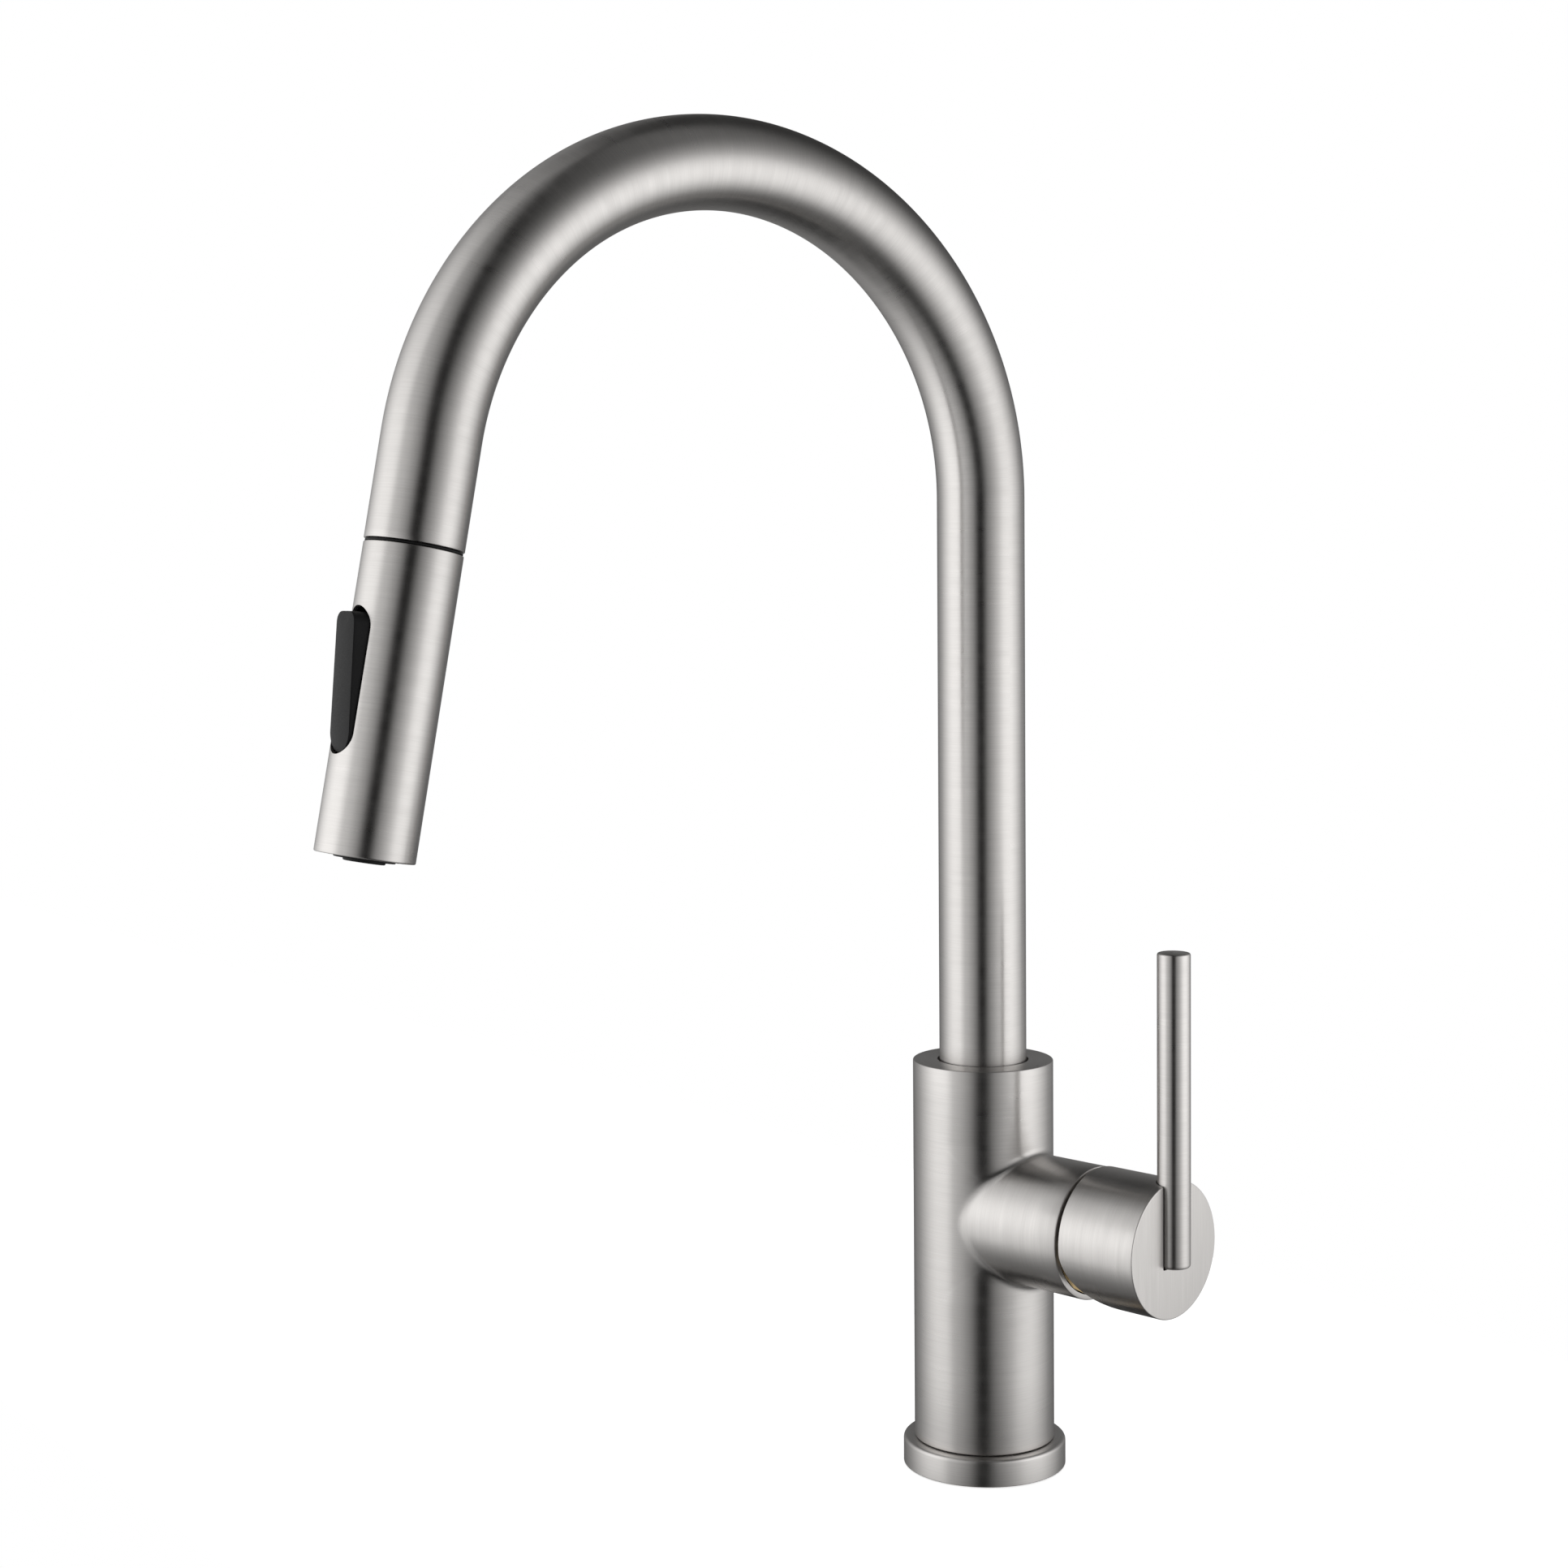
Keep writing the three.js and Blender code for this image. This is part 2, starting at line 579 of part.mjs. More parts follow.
function addHose() {
  // Lower run, beside the valve core: straight, then easing over to the spout's axis.
  const easeFrom = 74;
  const easeTo = 114;
  const steps = 8;
  const hoseEnd = SHANK_END - 12;
  const eased = Array.from({ length: steps + 1 }, (_, i) => {
    const t = i / steps;
    const shift = HOSE_AT * (1 - t * t * (3 - 2 * t));
    return new THREE.Vector3(shift, 0, easeFrom + (easeTo - easeFrom) * t);
  });
  const lower = [
    new THREE.Vector3(HOSE_AT, 0, hoseEnd),
    ...eased,
    new THREE.Vector3(0, 0, HOSE_SPLIT - GAP),
  ];
  addPiece(mixer, 'hose_lower', pipe(lower, HOSE_R, HOSE_BORE, 8), BRAID());
  const connectorBore = HOSE_BORE - 0.8;
  const connectorR = 4.2;
  const crimpR = 6.6;
  const connector = turned([
    [connectorBore, hoseEnd - 18],
    [connectorR, hoseEnd - 18],
    [connectorR, hoseEnd - 9],
    [crimpR, hoseEnd - 9],
    [crimpR, hoseEnd - GAP],
    [connectorBore, hoseEnd - GAP],
  ]);
  addPiece(mixer, 'hose_connector', connector.translate([HOSE_AT, 0, 0]), BRASS());

  const arch = archStations().filter((_, i) => i % 2 === 0);
  const legStart = SEAM.clone().addScaledVector(OUTFLOW, -(LEG_HOSE[1] + 3 * GAP));
  const upper = [yz(0, HOSE_SPLIT), ...arch.slice(0, -1), legStart];
  addPiece(faucet, 'hose_upper', pipe(upper, HOSE_R, HOSE_BORE, 8), BRAID());

  addPiece(outlet, 'hose_leg', sleeve(HOSE_BORE, HOSE_R, ...LEG_HOSE, SMALL), BRAID());
  const ferrule = sleeve(2.9, 5.9, -4, LEG_HOSE[0] - GAP, INNER);
  addPiece(outlet, 'hose_ferrule', ferrule, STEEL());
  const ball = solid(new THREE.SphereGeometry(5.9, 14, 8).rotateX(Math.PI / 2));
  const stud = ball
    .translate([0, 0, -14.8])
    .add(rod(2.6, -14.8, 8, INNER))
    .subtract(rod(1.7, -23, 9, SMALL));
  addPiece(outlet, 'swivel_stud', stud, BRASS());
}

// ---- spray head: z runs down from the seam as negative values ------------------------

const stadium = (halfWidth, length, depthFrom, depthTo) => {
  const shape = new THREE.Shape();
  shape.absarc(0, length - halfWidth, halfWidth, 0, Math.PI, false);
  shape.absarc(0, halfWidth, halfWidth, Math.PI, 2 * Math.PI, false);
  const geometry = new THREE.ExtrudeGeometry(shape, {
    depth: depthTo - depthFrom,
    bevelEnabled: false,
    curveSegments: 8,
  });
  // Stands the outline upright and lets its depth run towards the front, -Y.
  return solid(geometry.rotateX(Math.PI / 2).translate(0, -depthFrom, 0));
};

const ROCKER_PIN_Z = -SLOT_TOP - SLOT_L / 2;
const ROCKER_PIN_Y = -9.2;
const ROCKER_HALF_W = SLOT_HALF_W - 0.6;
const TRAY_BACK = 5.6; // how deep the rocker's tray reaches, towards the head's axis
const PLUNGER_Z = -32;
const PLUNGER_BORE = 2.8;

function addSprayHead() {
  const top = -SEAM_H / 2;
  const shell = turned([
    [HEAD_R_TOP - HEAD_WALL, top],
    [HEAD_R_TOP, top],
    [HEAD_R, -HEAD_L],
    [HEAD_R - HEAD_WALL, -HEAD_L],
  ], FINE);
  const slotBottom = -SLOT_TOP - SLOT_L;
  const slot = stadium(SLOT_HALF_W, SLOT_L, 6, 16).translate([0, 0, slotBottom]);
  addPiece(outlet, 'head_shell', shell.subtract(slot), STEEL());

  // The neck rises into the dock collar and holds the swivel ball.
  const inner = HEAD_R_TOP - HEAD_WALL - GAP;
  const neck = turned([
    [2.5, -23],
    [inner, -23],
    [inner, -3],
    [8.7, -3],
    [8.7, 6],
    [7.6, 8],
    [6.6, 8],
    [6.6, -21],
    [2.5, -21],
  ], INNER);
  const slotRoom = block(-7, 7, -15, -TRAY_BACK + GAP, -24, -SLOT_TOP + GAP);
  addPiece(outlet, 'head_neck', neck.subtract(slotRoom), BLACK());
  addPiece(outlet, 'keeper_ring', sleeve(9.1, 12, -2.7, -SEAM_H / 2 - 0.2, INNER), ZINC());
  addPiece(outlet, 'ball_nut', sleeve(3.2, 6.3, -9.4, -4.6, INNER), ACETAL());

  // The core carries the water past the rocker's tray to the outlet.
  const coreTop = -23 - GAP;
  const coreEnd = -74;
  const trayRoom = block(-14, 14, -14, -TRAY_BACK + GAP, slotBottom - 2.5, coreTop + 1);
  const channel = rod(3, coreEnd - 1, coreTop + 1, SMALL).translate([0, 3, 0]);
  const plungerBore = rodBetween(PLUNGER_BORE, [0, -10, PLUNGER_Z], [0, 8, PLUNGER_Z]);
  const valveSeat = rod(4.6, coreTop - 8, coreTop + 1, INNER).translate([0, 3, 0]);
  const core = rod(inner - 0.2, coreEnd, coreTop, INNER)
    .subtract(trayRoom)
    .subtract(channel)
    .subtract(plungerBore)
    .subtract(valveSeat);
  addPiece(outlet, 'head_core', core, ACETAL());
  const checkValve = sleeve(2.4, 4.3, coreTop - 4.6, coreTop - 0.2, INNER);
  addPiece(outlet, 'check_valve', checkValve.translate([0, 3, 0]), BLACK());

  // The tray closes the slot from behind, and its post carries the rocker's pin.
  const floorTop = TRAY_BACK + 1.2;
  const floor = stadium(SLOT_HALF_W - GAP, SLOT_L - 2 * GAP, TRAY_BACK, floorTop);
  const post = block(-1.6, 1.6, ROCKER_PIN_Y - 1.8, -TRAY_BACK - 0.5, ROCKER_PIN_Z - 2, ROCKER_PIN_Z + 2);
  const plungerHole = rodBetween(PLUNGER_BORE, [0, -9, PLUNGER_Z], [0, 0, PLUNGER_Z]);
  const tray = floor
    .translate([0, 0, slotBottom + GAP])
    .add(post)
    .subtract(plungerHole)
    .subtract(acrossHead(1.2, 7));
  addPiece(outlet, 'button_tray', tray, BLACK());
  addPiece(outlet, 'rocker_pin', acrossHead(0.9, 4.6), ZINC());

  addRocker(slotBottom);
  addDiverter();
  addSprayFace(coreEnd);
}

// A rod on the rocker's pivot line, out to the given half length.
const acrossHead = (r, half) =>
  rodBetween(r, [-half, ROCKER_PIN_Y, ROCKER_PIN_Z], [half, ROCKER_PIN_Y, ROCKER_PIN_Z]);

function addRocker(slotBottom) {
  // Side outline, [towards the front, up the head]: proud at the top, flush at the foot.
  const foot = slotBottom + 1.5;
  const crown = -SLOT_TOP - 1.3;
  const sideOutline = [
    [7.6, ROCKER_PIN_Z - 4],
    [10.6, foot],
    [12.4, foot],
    [17.3, crown - 1],
    [16.3, crown],
    [10.2, crown],
    [7.6, ROCKER_PIN_Z + 4],
  ];
  // Turned so that the outline's x runs to -Y, its y to Z, and the prism across the head.
  const wide = 2 * ROCKER_HALF_W;
  const wedge = prism(sideOutline, wide).translate([0, 0, -wide / 2]).rotate([90, 0, -90]);
  const plan = stadium(ROCKER_HALF_W, crown - foot, 7, 18).translate([0, 0, foot]);
  // The flanks lean in above the shell.
  const flank = (side) =>
    prism([[5.8, 12.2], [9, 12.2], [9, 19], [3.6, 19]].map(([x, y]) => [side * x, -y]), 60)
      .translate([0, 0, slotBottom - 5]);
  const postRoom = block(-2, 2, ROCKER_PIN_Y - 2.4, 0, ROCKER_PIN_Z - 3, ROCKER_PIN_Z + 3);
  const rocker = wedge
    .intersect(plan)
    .subtract(flank(1))
    .subtract(flank(-1))
    .subtract(postRoom)
    .subtract(acrossHead(1.2, 5));
  addPiece(outlet, 'rocker_button', rocker, BLACK());
}

function addDiverter() {
  const plunger = rodBetween(2.3, [0, -7.4, PLUNGER_Z], [0, 2.5, PLUNGER_Z]);
  addPiece(outlet, 'diverter_plunger', plunger, BLACK());
}

function addSprayFace(coreEnd) {
  const faceTop = -81;
  const rim = HEAD_R - HEAD_WALL - GAP;
  const carrier = turned([
    [6.6, coreEnd - GAP],
    [rim - 0.2, coreEnd - GAP],
    [rim - 0.2, faceTop],
    [6.6, faceTop],
  ], INNER);
  addPiece(outlet, 'face_carrier', carrier, ACETAL());
  addPiece(outlet, 'nozzle_ring', sleeve(8.9, rim, -85.6, faceTop - GAP, INNER), RUBBER());
  addPiece(outlet, 'spray_face', sleeve(6.4, 8.6, -HEAD_L - 0.6, faceTop - GAP, INNER), BLACK());
  addPiece(outlet, 'aerator', rod(5.9, -HEAD_L - 1.3, coreEnd - GAP, INNER), BLACK());
}

addDeckHardware();
addBody();
addValveCore();
addSpoutBearings();
addCartridge();
addHandle();
addSpout();
addHose();
addSprayHead();

export default faucet;
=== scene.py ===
import json
import math
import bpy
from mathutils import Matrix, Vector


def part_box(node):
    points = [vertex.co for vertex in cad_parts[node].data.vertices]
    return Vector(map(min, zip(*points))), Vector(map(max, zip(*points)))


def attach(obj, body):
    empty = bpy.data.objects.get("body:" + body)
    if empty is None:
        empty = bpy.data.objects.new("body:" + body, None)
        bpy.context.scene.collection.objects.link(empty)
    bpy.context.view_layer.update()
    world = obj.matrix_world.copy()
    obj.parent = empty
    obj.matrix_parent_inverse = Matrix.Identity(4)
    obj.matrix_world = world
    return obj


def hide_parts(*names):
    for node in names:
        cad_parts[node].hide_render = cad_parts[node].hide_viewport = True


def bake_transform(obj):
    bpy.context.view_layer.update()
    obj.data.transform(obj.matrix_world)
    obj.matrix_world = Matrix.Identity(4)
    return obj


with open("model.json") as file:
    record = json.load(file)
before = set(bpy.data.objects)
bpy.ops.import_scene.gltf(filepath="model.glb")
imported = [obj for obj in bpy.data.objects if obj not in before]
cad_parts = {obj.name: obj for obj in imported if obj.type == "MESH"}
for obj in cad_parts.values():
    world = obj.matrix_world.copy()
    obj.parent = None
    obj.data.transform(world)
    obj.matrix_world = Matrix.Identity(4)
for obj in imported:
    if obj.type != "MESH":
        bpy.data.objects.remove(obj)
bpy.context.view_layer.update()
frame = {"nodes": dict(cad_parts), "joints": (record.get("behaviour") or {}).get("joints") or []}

from types import SimpleNamespace

import bmesh
import bpy
import numpy as np
from bpy.props import FloatProperty, FloatVectorProperty, IntProperty, PointerProperty
from mathutils import Matrix, Vector

bl_info = {
    "name": "Pull-down Kitchen Faucet",
    "version": (1, 0, 0),
    "blender": (4, 5, 0),
    "location": "3D View > Sidebar > Faucet",
    "description": "Builds a one-hole kitchen faucet with a gooseneck spout and pull-down spray",
    "category": "Object",
}

MM = 0.001
BRUSH = "Brush"  # UV map in millimetres: u across the brushing lines, v along them
STUDIO = SimpleNamespace(trees={}, finishes={})  # what the stage makes for the pieces

# ---- where the faucet's own axes are -------------------------------------------------


def upright(origin, x, y, z):
    """A piece's local axes as a placement matrix."""
    turned = Matrix((x, y, z)).transposed().to_4x4()
    return Matrix.Translation(origin) @ turned


def handle_axes():
    """Local Z leaves the body along the handle's axis and local X points up."""
    joint = JOINTS["handle_mix"]
    along, up = Vector(joint["axis"]), Vector((0, 0, 1))
    origin = Vector((0, 0, joint["pos_m"][2]))
    return upright(origin, up, along.cross(up), along)


def outlet_axes():
    """Local Z runs back up the outlet leg from the seam and local -Y faces the front."""
    joint = JOINTS["head_spin"]
    back = -Vector(joint["axis"])
    across = Vector((1, 0, 0))
    seam = Vector(joint["pos_m"]) + back * BALL_BELOW_SEAM * MM
    return upright(seam, across, back.cross(across), back)


JOINTS = {j["name"]: j for j in frame["joints"]}
BALL_BELOW_SEAM = 14.8
WORLD = Matrix.Identity(4)
HANDLE = handle_axes()
OUTLET = outlet_axes()


# ---- sizes and colours ---------------------------------------------------------------


def length(name, text, millimetres):
    return FloatProperty(
        name=name, description=text, default=millimetres * MM,
        min=0.0, unit="LENGTH", subtype="DISTANCE",
    )


def angle(name, text, degrees):
    return FloatProperty(
        name=name, description=text, default=math.radians(degrees),
        unit="ROTATION", subtype="ANGLE",
    )


def colour(name, text, value):
    return FloatVectorProperty(
        name=name, description=text, default=value, size=3, min=0, max=1, subtype="COLOR"
    )


def count(name, text, value):
    return IntProperty(name=name, description=text, default=value, min=3)


class FaucetBodySizes(bpy.types.PropertyGroup):
    ring_r: length("Base ring radius", "Outer radius of the base ring", 26.2)
    ring_h: length("Base ring height", "Height of the base ring", 8.6)
    ring_edge: length("Base ring edge", "Rounding of the base ring's top edge", 1.3)
    body_r: length("Body radius", "Outer radius of the upright body", 22.6)
    body_foot: length("Body foot", "Height where the body starts", 8.9)
    body_top: length("Body top", "Height of the body's top face", 131.5)
    body_edge: length("Body edge", "Rounding of the body's edges", 0.4)
    branch_r: length("Branch radius", "Radius of the side branch", 20.8)
    branch_end: length("Branch end", "End of the branch along the handle axis", 46.3)
    fillet: length("Branch fillet", "Width of the soft corner where the branch leaves", 2.4)


class FaucetHandleSizes(bpy.types.PropertyGroup):
    hub_r: length("Hub radius", "Radius of the round handle hub", 21.1)
    hub_start: length("Hub start", "Inner end of the hub along the handle axis", 47.8)
    hub_end: length("Hub face", "Outer face of the hub along the handle axis", 76)
    hub_edge: length("Hub edge", "Rounding of the hub's edges", 0.4)
    rod_r: length("Lever radius", "Radius of the lever rod", 5.1)
    rod_top: length("Lever top", "Lever's top above the handle axis", 91)
    rod_foot: length("Lever foot", "Lever's foot below the handle axis", 5.0)
    rod_edge: length("Lever edge", "Rounding of the lever's ends", 0.8)


class FaucetSpoutSizes(bpy.types.PropertyGroup):
    tube_r: length("Tube radius", "Outer radius of the spout tube", 14)
    wall: length("Tube wall", "Wall of the spout tube", 1.2)
    foot: length("Tube foot", "Height of the tube's lower end, in the body", 107.7)
    spring: length("Spring line", "Height where the riser starts to bend", 312)
    bend_1: length("Arch radius", "Centre-line radius of the arch", 99)
    bend_2: length("Shoulder radius", "Centre-line radius of the outer shoulder", 104)
    turn_1: angle("Arch turn", "How far round the arch radius runs", 130)
    tilt: angle("Leg tilt", "Outlet leg, from the vertical", 11)
    leg: length("Leg length", "Straight outlet leg, down to the seam", 30.8)
    sides: count("Tube sides", "Sides of the tube's section", 128)


class FaucetHeadSizes(bpy.types.PropertyGroup):
    top_r: length("Head top radius", "Radius of the spray head at the seam", 13.9)
    foot_r: length("Head foot radius", "Radius of the spray head at its outlet", 14)
    wall: length("Head wall", "Wall of the head's shell", 1.3)
    head_l: length("Head length", "Length of the head's shell below the seam", 86.3)
    slot_top: length("Slot top", "Top of the rocker slot below the seam", 18.5)
    slot_l: length("Slot length", "Length of the rocker slot", 41)
    slot_w: length("Slot half width", "Half width of the rocker slot", 6.3)
    crown: length("Rocker crown", "Rocker's outer face at its crown, from the head's axis", 17.8)
    toe: length("Rocker foot", "Rocker's outer face at its foot, from the head's axis", 13.4)
    nozzles: count("Nozzles", "Spray nozzles in the outer row", 30)


class FaucetDeckSizes(bpy.types.PropertyGroup):
    deck: length("Deck thickness", "Thickness of the deck the faucet is clamped to", 30)
    shank_r: length("Shank radius", "Outer radius of the threaded shank", 16.5)
    shank_end: length("Shank length", "Length of the shank below the deck's top", 58)
    pitch: length("Thread pitch", "Pitch of the shank's thread", 2)
    washer_r: length("Washer radius", "Outer radius of the washers", 28)
    hose_r: length("Hose radius", "Outer radius of the braided hose", 5.5)


class FaucetFinishes(bpy.types.PropertyGroup):
    steel: colour("Steel", "Brushed steel", (0.62, 0.602, 0.585))
    brass: colour("Brass", "Machined brass", (0.55, 0.41, 0.21))
    copper: colour("Copper", "Copper pipe", (0.70, 0.32, 0.18))
    zinc: colour("Zinc", "Zinc-plated steel", (0.50, 0.52, 0.53))
    black: colour("Black plastic", "Moulded black plastic", (0.008, 0.008, 0.0085))
    rubber: colour("Rubber", "Black rubber", (0.016, 0.016, 0.016))
    acetal: colour("White plastic", "Moulded white plastic", (0.76, 0.74, 0.69))
    ceramic: colour("Ceramic", "Valve ceramic", (0.83, 0.80, 0.74))
    braid: colour("Braid", "Hose braid", (0.14, 0.145, 0.15))
    floor: colour("Floor", "Studio floor", (0.86, 0.86, 0.86))


SIZES = {
    "faucet_body": FaucetBodySizes,
    "faucet_handle": FaucetHandleSizes,
    "faucet_spout": FaucetSpoutSizes,
    "faucet_head": FaucetHeadSizes,
    "faucet_deck": FaucetDeckSizes,
    "faucet_finish": FaucetFinishes,
}


def in_mm(group):
    """A size group's lengths in millimetres; angles and counts stay as they are."""
    out = {}
    for key in group.__annotations__:
        is_length = group.bl_rna.properties[key].unit == "LENGTH"
        out[key] = getattr(group, key) / MM if is_length else getattr(group, key)
    return SimpleNamespace(**out)


# ---- mesh building -------------------------------------------------------------------


def new_piece(name, points, faces):
    """A mesh object from points in metres, shaded smooth."""
    mesh = bpy.data.meshes.new(name)
    mesh.from_pydata([tuple(p) for p in points], [], faces)
    mesh.validate()
    face_out(mesh)
    mesh.shade_smooth()
    obj = bpy.data.objects.new(name, mesh)
    bpy.context.scene.collection.objects.link(obj)
    return obj


def face_out(mesh):
    """Turns a closed mesh so that its faces point outwards."""
    bm = bmesh.new()
    bm.from_mesh(mesh)
    bmesh.ops.recalc_face_normals(bm, faces=bm.faces)
    if bm.calc_volume(signed=True) < 0:
        bmesh.ops.reverse_faces(bm, faces=bm.faces)
    bm.to_mesh(mesh)
    bm.free()


def rounded(outline, steps=5):
    """Rounds the corners of a closed outline of (r, z, corner radius) points."""
    n = len(outline)
    points = []
    for i, corner in enumerate(outline):
        r, z, soft = (*corner, 0)[:3]
        here = np.array([r, z], float)
        if not soft:
            points.append(here)
            continue
        before = np.array(outline[i - 1][:2], float) - here
        after = np.array(outline[(i + 1) % n][:2], float) - here
        a = here + before / np.linalg.norm(before) * soft
        b = here + after / np.linalg.norm(after) * soft
        for t in np.linspace(0, 1, steps + 1):
            points.append((1 - t) ** 2 * a + 2 * t * (1 - t) * here + t * t * b)
    return points


def turned(name, outline, axes=WORLD, sides=128, offset=(0, 0, 0), steps=5):
    """Turns a closed (r, z[, corner radius]) outline in millimetres about local Z."""
    profile = rounded(outline, steps)
    rows, points = [], []
    for r, z in profile:
        if r < 1e-6:
            rows.append([len(points)])
            points.append((0, 0, z))
            continue
        rows.append(list(range(len(points), len(points) + sides)))
        for k in range(sides):
            a = 2 * math.pi * k / sides
            points.append((r * math.cos(a), r * math.sin(a), z))
    faces = []
    for i, row in enumerate(rows):
        nxt = rows[(i + 1) % len(rows)]
        if len(row) == 1 and len(nxt) == 1:
            continue
        for k in range(sides):
            m = (k + 1) % sides
            if len(row) == 1:
                faces.append((row[0], nxt[m], nxt[k]))
            elif len(nxt) == 1:
                faces.append((row[k], row[m], nxt[0]))
            else:
                faces.append((row[k], row[m], nxt[m], nxt[k]))
    move = axes @ Matrix.Translation(Vector(offset) * MM)
    return new_piece(name, [move @ (Vector(p) * MM) for p in points], faces)


def drill(name, radius, start, end, **options):
    """A round cutter between two heights on local Z."""
    return turned(name, [(0, start), (radius, start), (radius, end), (0, end)], **options)


def block(name, low, high, axes=WORLD):
    """A cutting block between two corners in millimetres."""
    x, y, z = zip(low, high)
    points = [Vector((x[i], y[j], z[k])) * MM for i in (0, 1) for j in (0, 1) for k in (0, 1)]
    faces = [(0, 1, 3, 2), (4, 6, 7, 5), (0, 4, 5, 1), (2, 3, 7, 6), (0, 2, 6, 4), (1, 5, 7, 3)]
    return new_piece(name, [axes @ p for p in points], faces)


def outline_prism(name, outline, depth_from, depth_to, axes=WORLD):
    """A prism of an (x, z) outline whose depth runs towards local -Y."""
    n = len(outline)
    points = [Vector((x, -d, z)) * MM for d in (depth_from, depth_to) for x, z in outline]
    faces = [tuple(range(n)), tuple(range(2 * n - 1, n - 1, -1))]
    faces += [(k, (k + 1) % n, n + (k + 1) % n, n + k) for k in range(n)]
    return new_piece(name, [axes @ p for p in points], faces)


def settle(obj):
    """Applies an object's modifiers to its mesh."""
    graph = bpy.context.evaluated_depsgraph_get()
    mesh = bpy.data.meshes.new_from_object(obj.evaluated_get(graph), depsgraph=graph)
    obj.modifiers.clear()
    old, obj.data = obj.data, mesh
    bpy.data.meshes.remove(old)
    return obj


def cut(obj, *cutters, operation="DIFFERENCE"):
    """Cuts an object with others, which are used up."""
    for cutter in cutters:
        modifier = obj.modifiers.new("Cut", "BOOLEAN")
        modifier.operation, modifier.solver, modifier.object = operation, "EXACT", cutter
        settle(obj)
        discard(cutter)
    clean(obj)
    return obj


def discard(obj):
    """Removes an object that is used up, with its mesh."""
    mesh = obj.data
    bpy.data.objects.remove(obj)
    bpy.data.meshes.remove(mesh)


def join(target, other):
    """Adds another object's mesh to a piece's own and uses it up."""
    bm = bmesh.new()
    bm.from_mesh(target.data)
    bm.from_mesh(other.data)
    bm.to_mesh(target.data)
    bm.free()
    discard(other)


def clean(obj, distance=2e-7):
    """Merges points that a cut left on top of each other."""
    bm = bmesh.new()
    bm.from_mesh(obj.data)
    bmesh.ops.remove_doubles(bm, verts=bm.verts, dist=distance)
    bmesh.ops.dissolve_degenerate(bm, edges=bm.edges, dist=distance)
    bm.to_mesh(obj.data)
    bm.free()


def crisp(obj, degrees=28):
    """Smooth shading that breaks at hard edges."""
    obj.data.shade_smooth()
    obj.data.set_sharp_from_angle(angle=math.radians(degrees))
    return obj


def brush_layer(obj):
    """The piece's Brush map, made where it has none."""
    mesh = obj.data
    return mesh.uv_layers.get(BRUSH) or mesh.uv_layers.new(name=BRUSH)


def brush_round(obj, axes, radius, belongs=None, flat_lines=False):
    """Lays the brushing lines round an axis, on the faces that belong to it.

    With flat_lines, faces square to the axis carry straight lines along local X."""
    mesh = obj.data
    layer = brush_layer(obj).data
    into = axes.inverted()
    turn = into.to_3x3()
    for face in mesh.polygons:
        centre = into @ face.center / MM
        if belongs and not belongs(centre):
            continue
        normal = turn @ face.normal
        flat = abs(normal.z) > 0.8
        middle = math.atan2(centre.y, centre.x)
        for loop in face.loop_indices:
            p = into @ mesh.vertices[mesh.loops[loop].vertex_index].co / MM
            if flat and flat_lines:
                layer[loop].uv = (p.y, p.x)
                continue
            off = math.atan2(p.y, p.x) - middle
            off = (off + math.pi) % (2 * math.pi) - math.pi
            across = math.hypot(p.x, p.y) if flat else p.z
            layer[loop].uv = (across, (middle + off) * radius)
    return obj


def paint(obj, slot):
    """Gives a piece the finish of a material slot."""
    obj.data.materials.clear()
    obj.data.materials.append(STUDIO.finishes[slot])


def finish_piece(obj, body, slot, *nodes):
    """Gives a piece its finish and the CAD body and nodes it stands for."""
    paint(obj, slot)
    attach(obj, body)
    if nodes:
        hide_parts(*nodes)
    return obj


# ---- node trees: shader groups -------------------------------------------------------


def group_tree(name, kind, sockets):
    """A node group with named sockets: (name, 'INPUT' or 'OUTPUT', socket type, default)."""
    tree = bpy.data.node_groups.new(name, kind)
    for label, way, socket_type, default in sockets:
        socket = tree.interface.new_socket(name=label, in_out=way, socket_type=socket_type)
        if default is not None:
            socket.default_value = default
    return tree, tree.nodes.new("NodeGroupInput"), tree.nodes.new("NodeGroupOutput")


def math_node(tree, operation, a, b=None, clamp=False):
    node = tree.nodes.new("ShaderNodeMath")
    node.operation, node.use_clamp = operation, clamp
    for socket, value in zip(node.inputs, (a, b)):
        if isinstance(value, (int, float)):
            socket.default_value = value
        elif value is not None:
            tree.links.new(value, socket)
    return node.outputs[0]


def brushed_grain_group():
    """Fine lines that run along V and vary across U, with slow bands behind them."""
    tree, inside, out = group_tree("Brushed Grain", "ShaderNodeTree", [
        ("Vector", "INPUT", "NodeSocketVector", None),
        ("Lines", "INPUT", "NodeSocketFloat", 2.6),
        ("Run", "INPUT", "NodeSocketFloat", 0.04),
        ("Grain", "OUTPUT", "NodeSocketFloat", None),
        ("Bands", "OUTPUT", "NodeSocketFloat", None),
    ])
    split = tree.nodes.new("ShaderNodeSeparateXYZ")
    tree.links.new(inside.outputs["Vector"], split.inputs[0])
    for output, factor, detail in (("Grain", 1.0, 3.0), ("Bands", 0.12, 2.0)):
        place = tree.nodes.new("ShaderNodeCombineXYZ")
        lines = math_node(tree, "MULTIPLY", inside.outputs["Lines"], factor)
        tree.links.new(math_node(tree, "MULTIPLY", split.outputs["X"], lines), place.inputs["X"])
        run = math_node(tree, "MULTIPLY", split.outputs["Y"], inside.outputs["Run"])
        tree.links.new(run, place.inputs["Y"])
        noise = tree.nodes.new("ShaderNodeTexNoise")
        noise.inputs["Scale"].default_value = 1.0
        noise.inputs["Detail"].default_value = detail
        noise.inputs["Roughness"].default_value = 0.65
        tree.links.new(place.outputs[0], noise.inputs["Vector"])
        tree.links.new(noise.outputs["Fac"], out.inputs[output])
    return tree


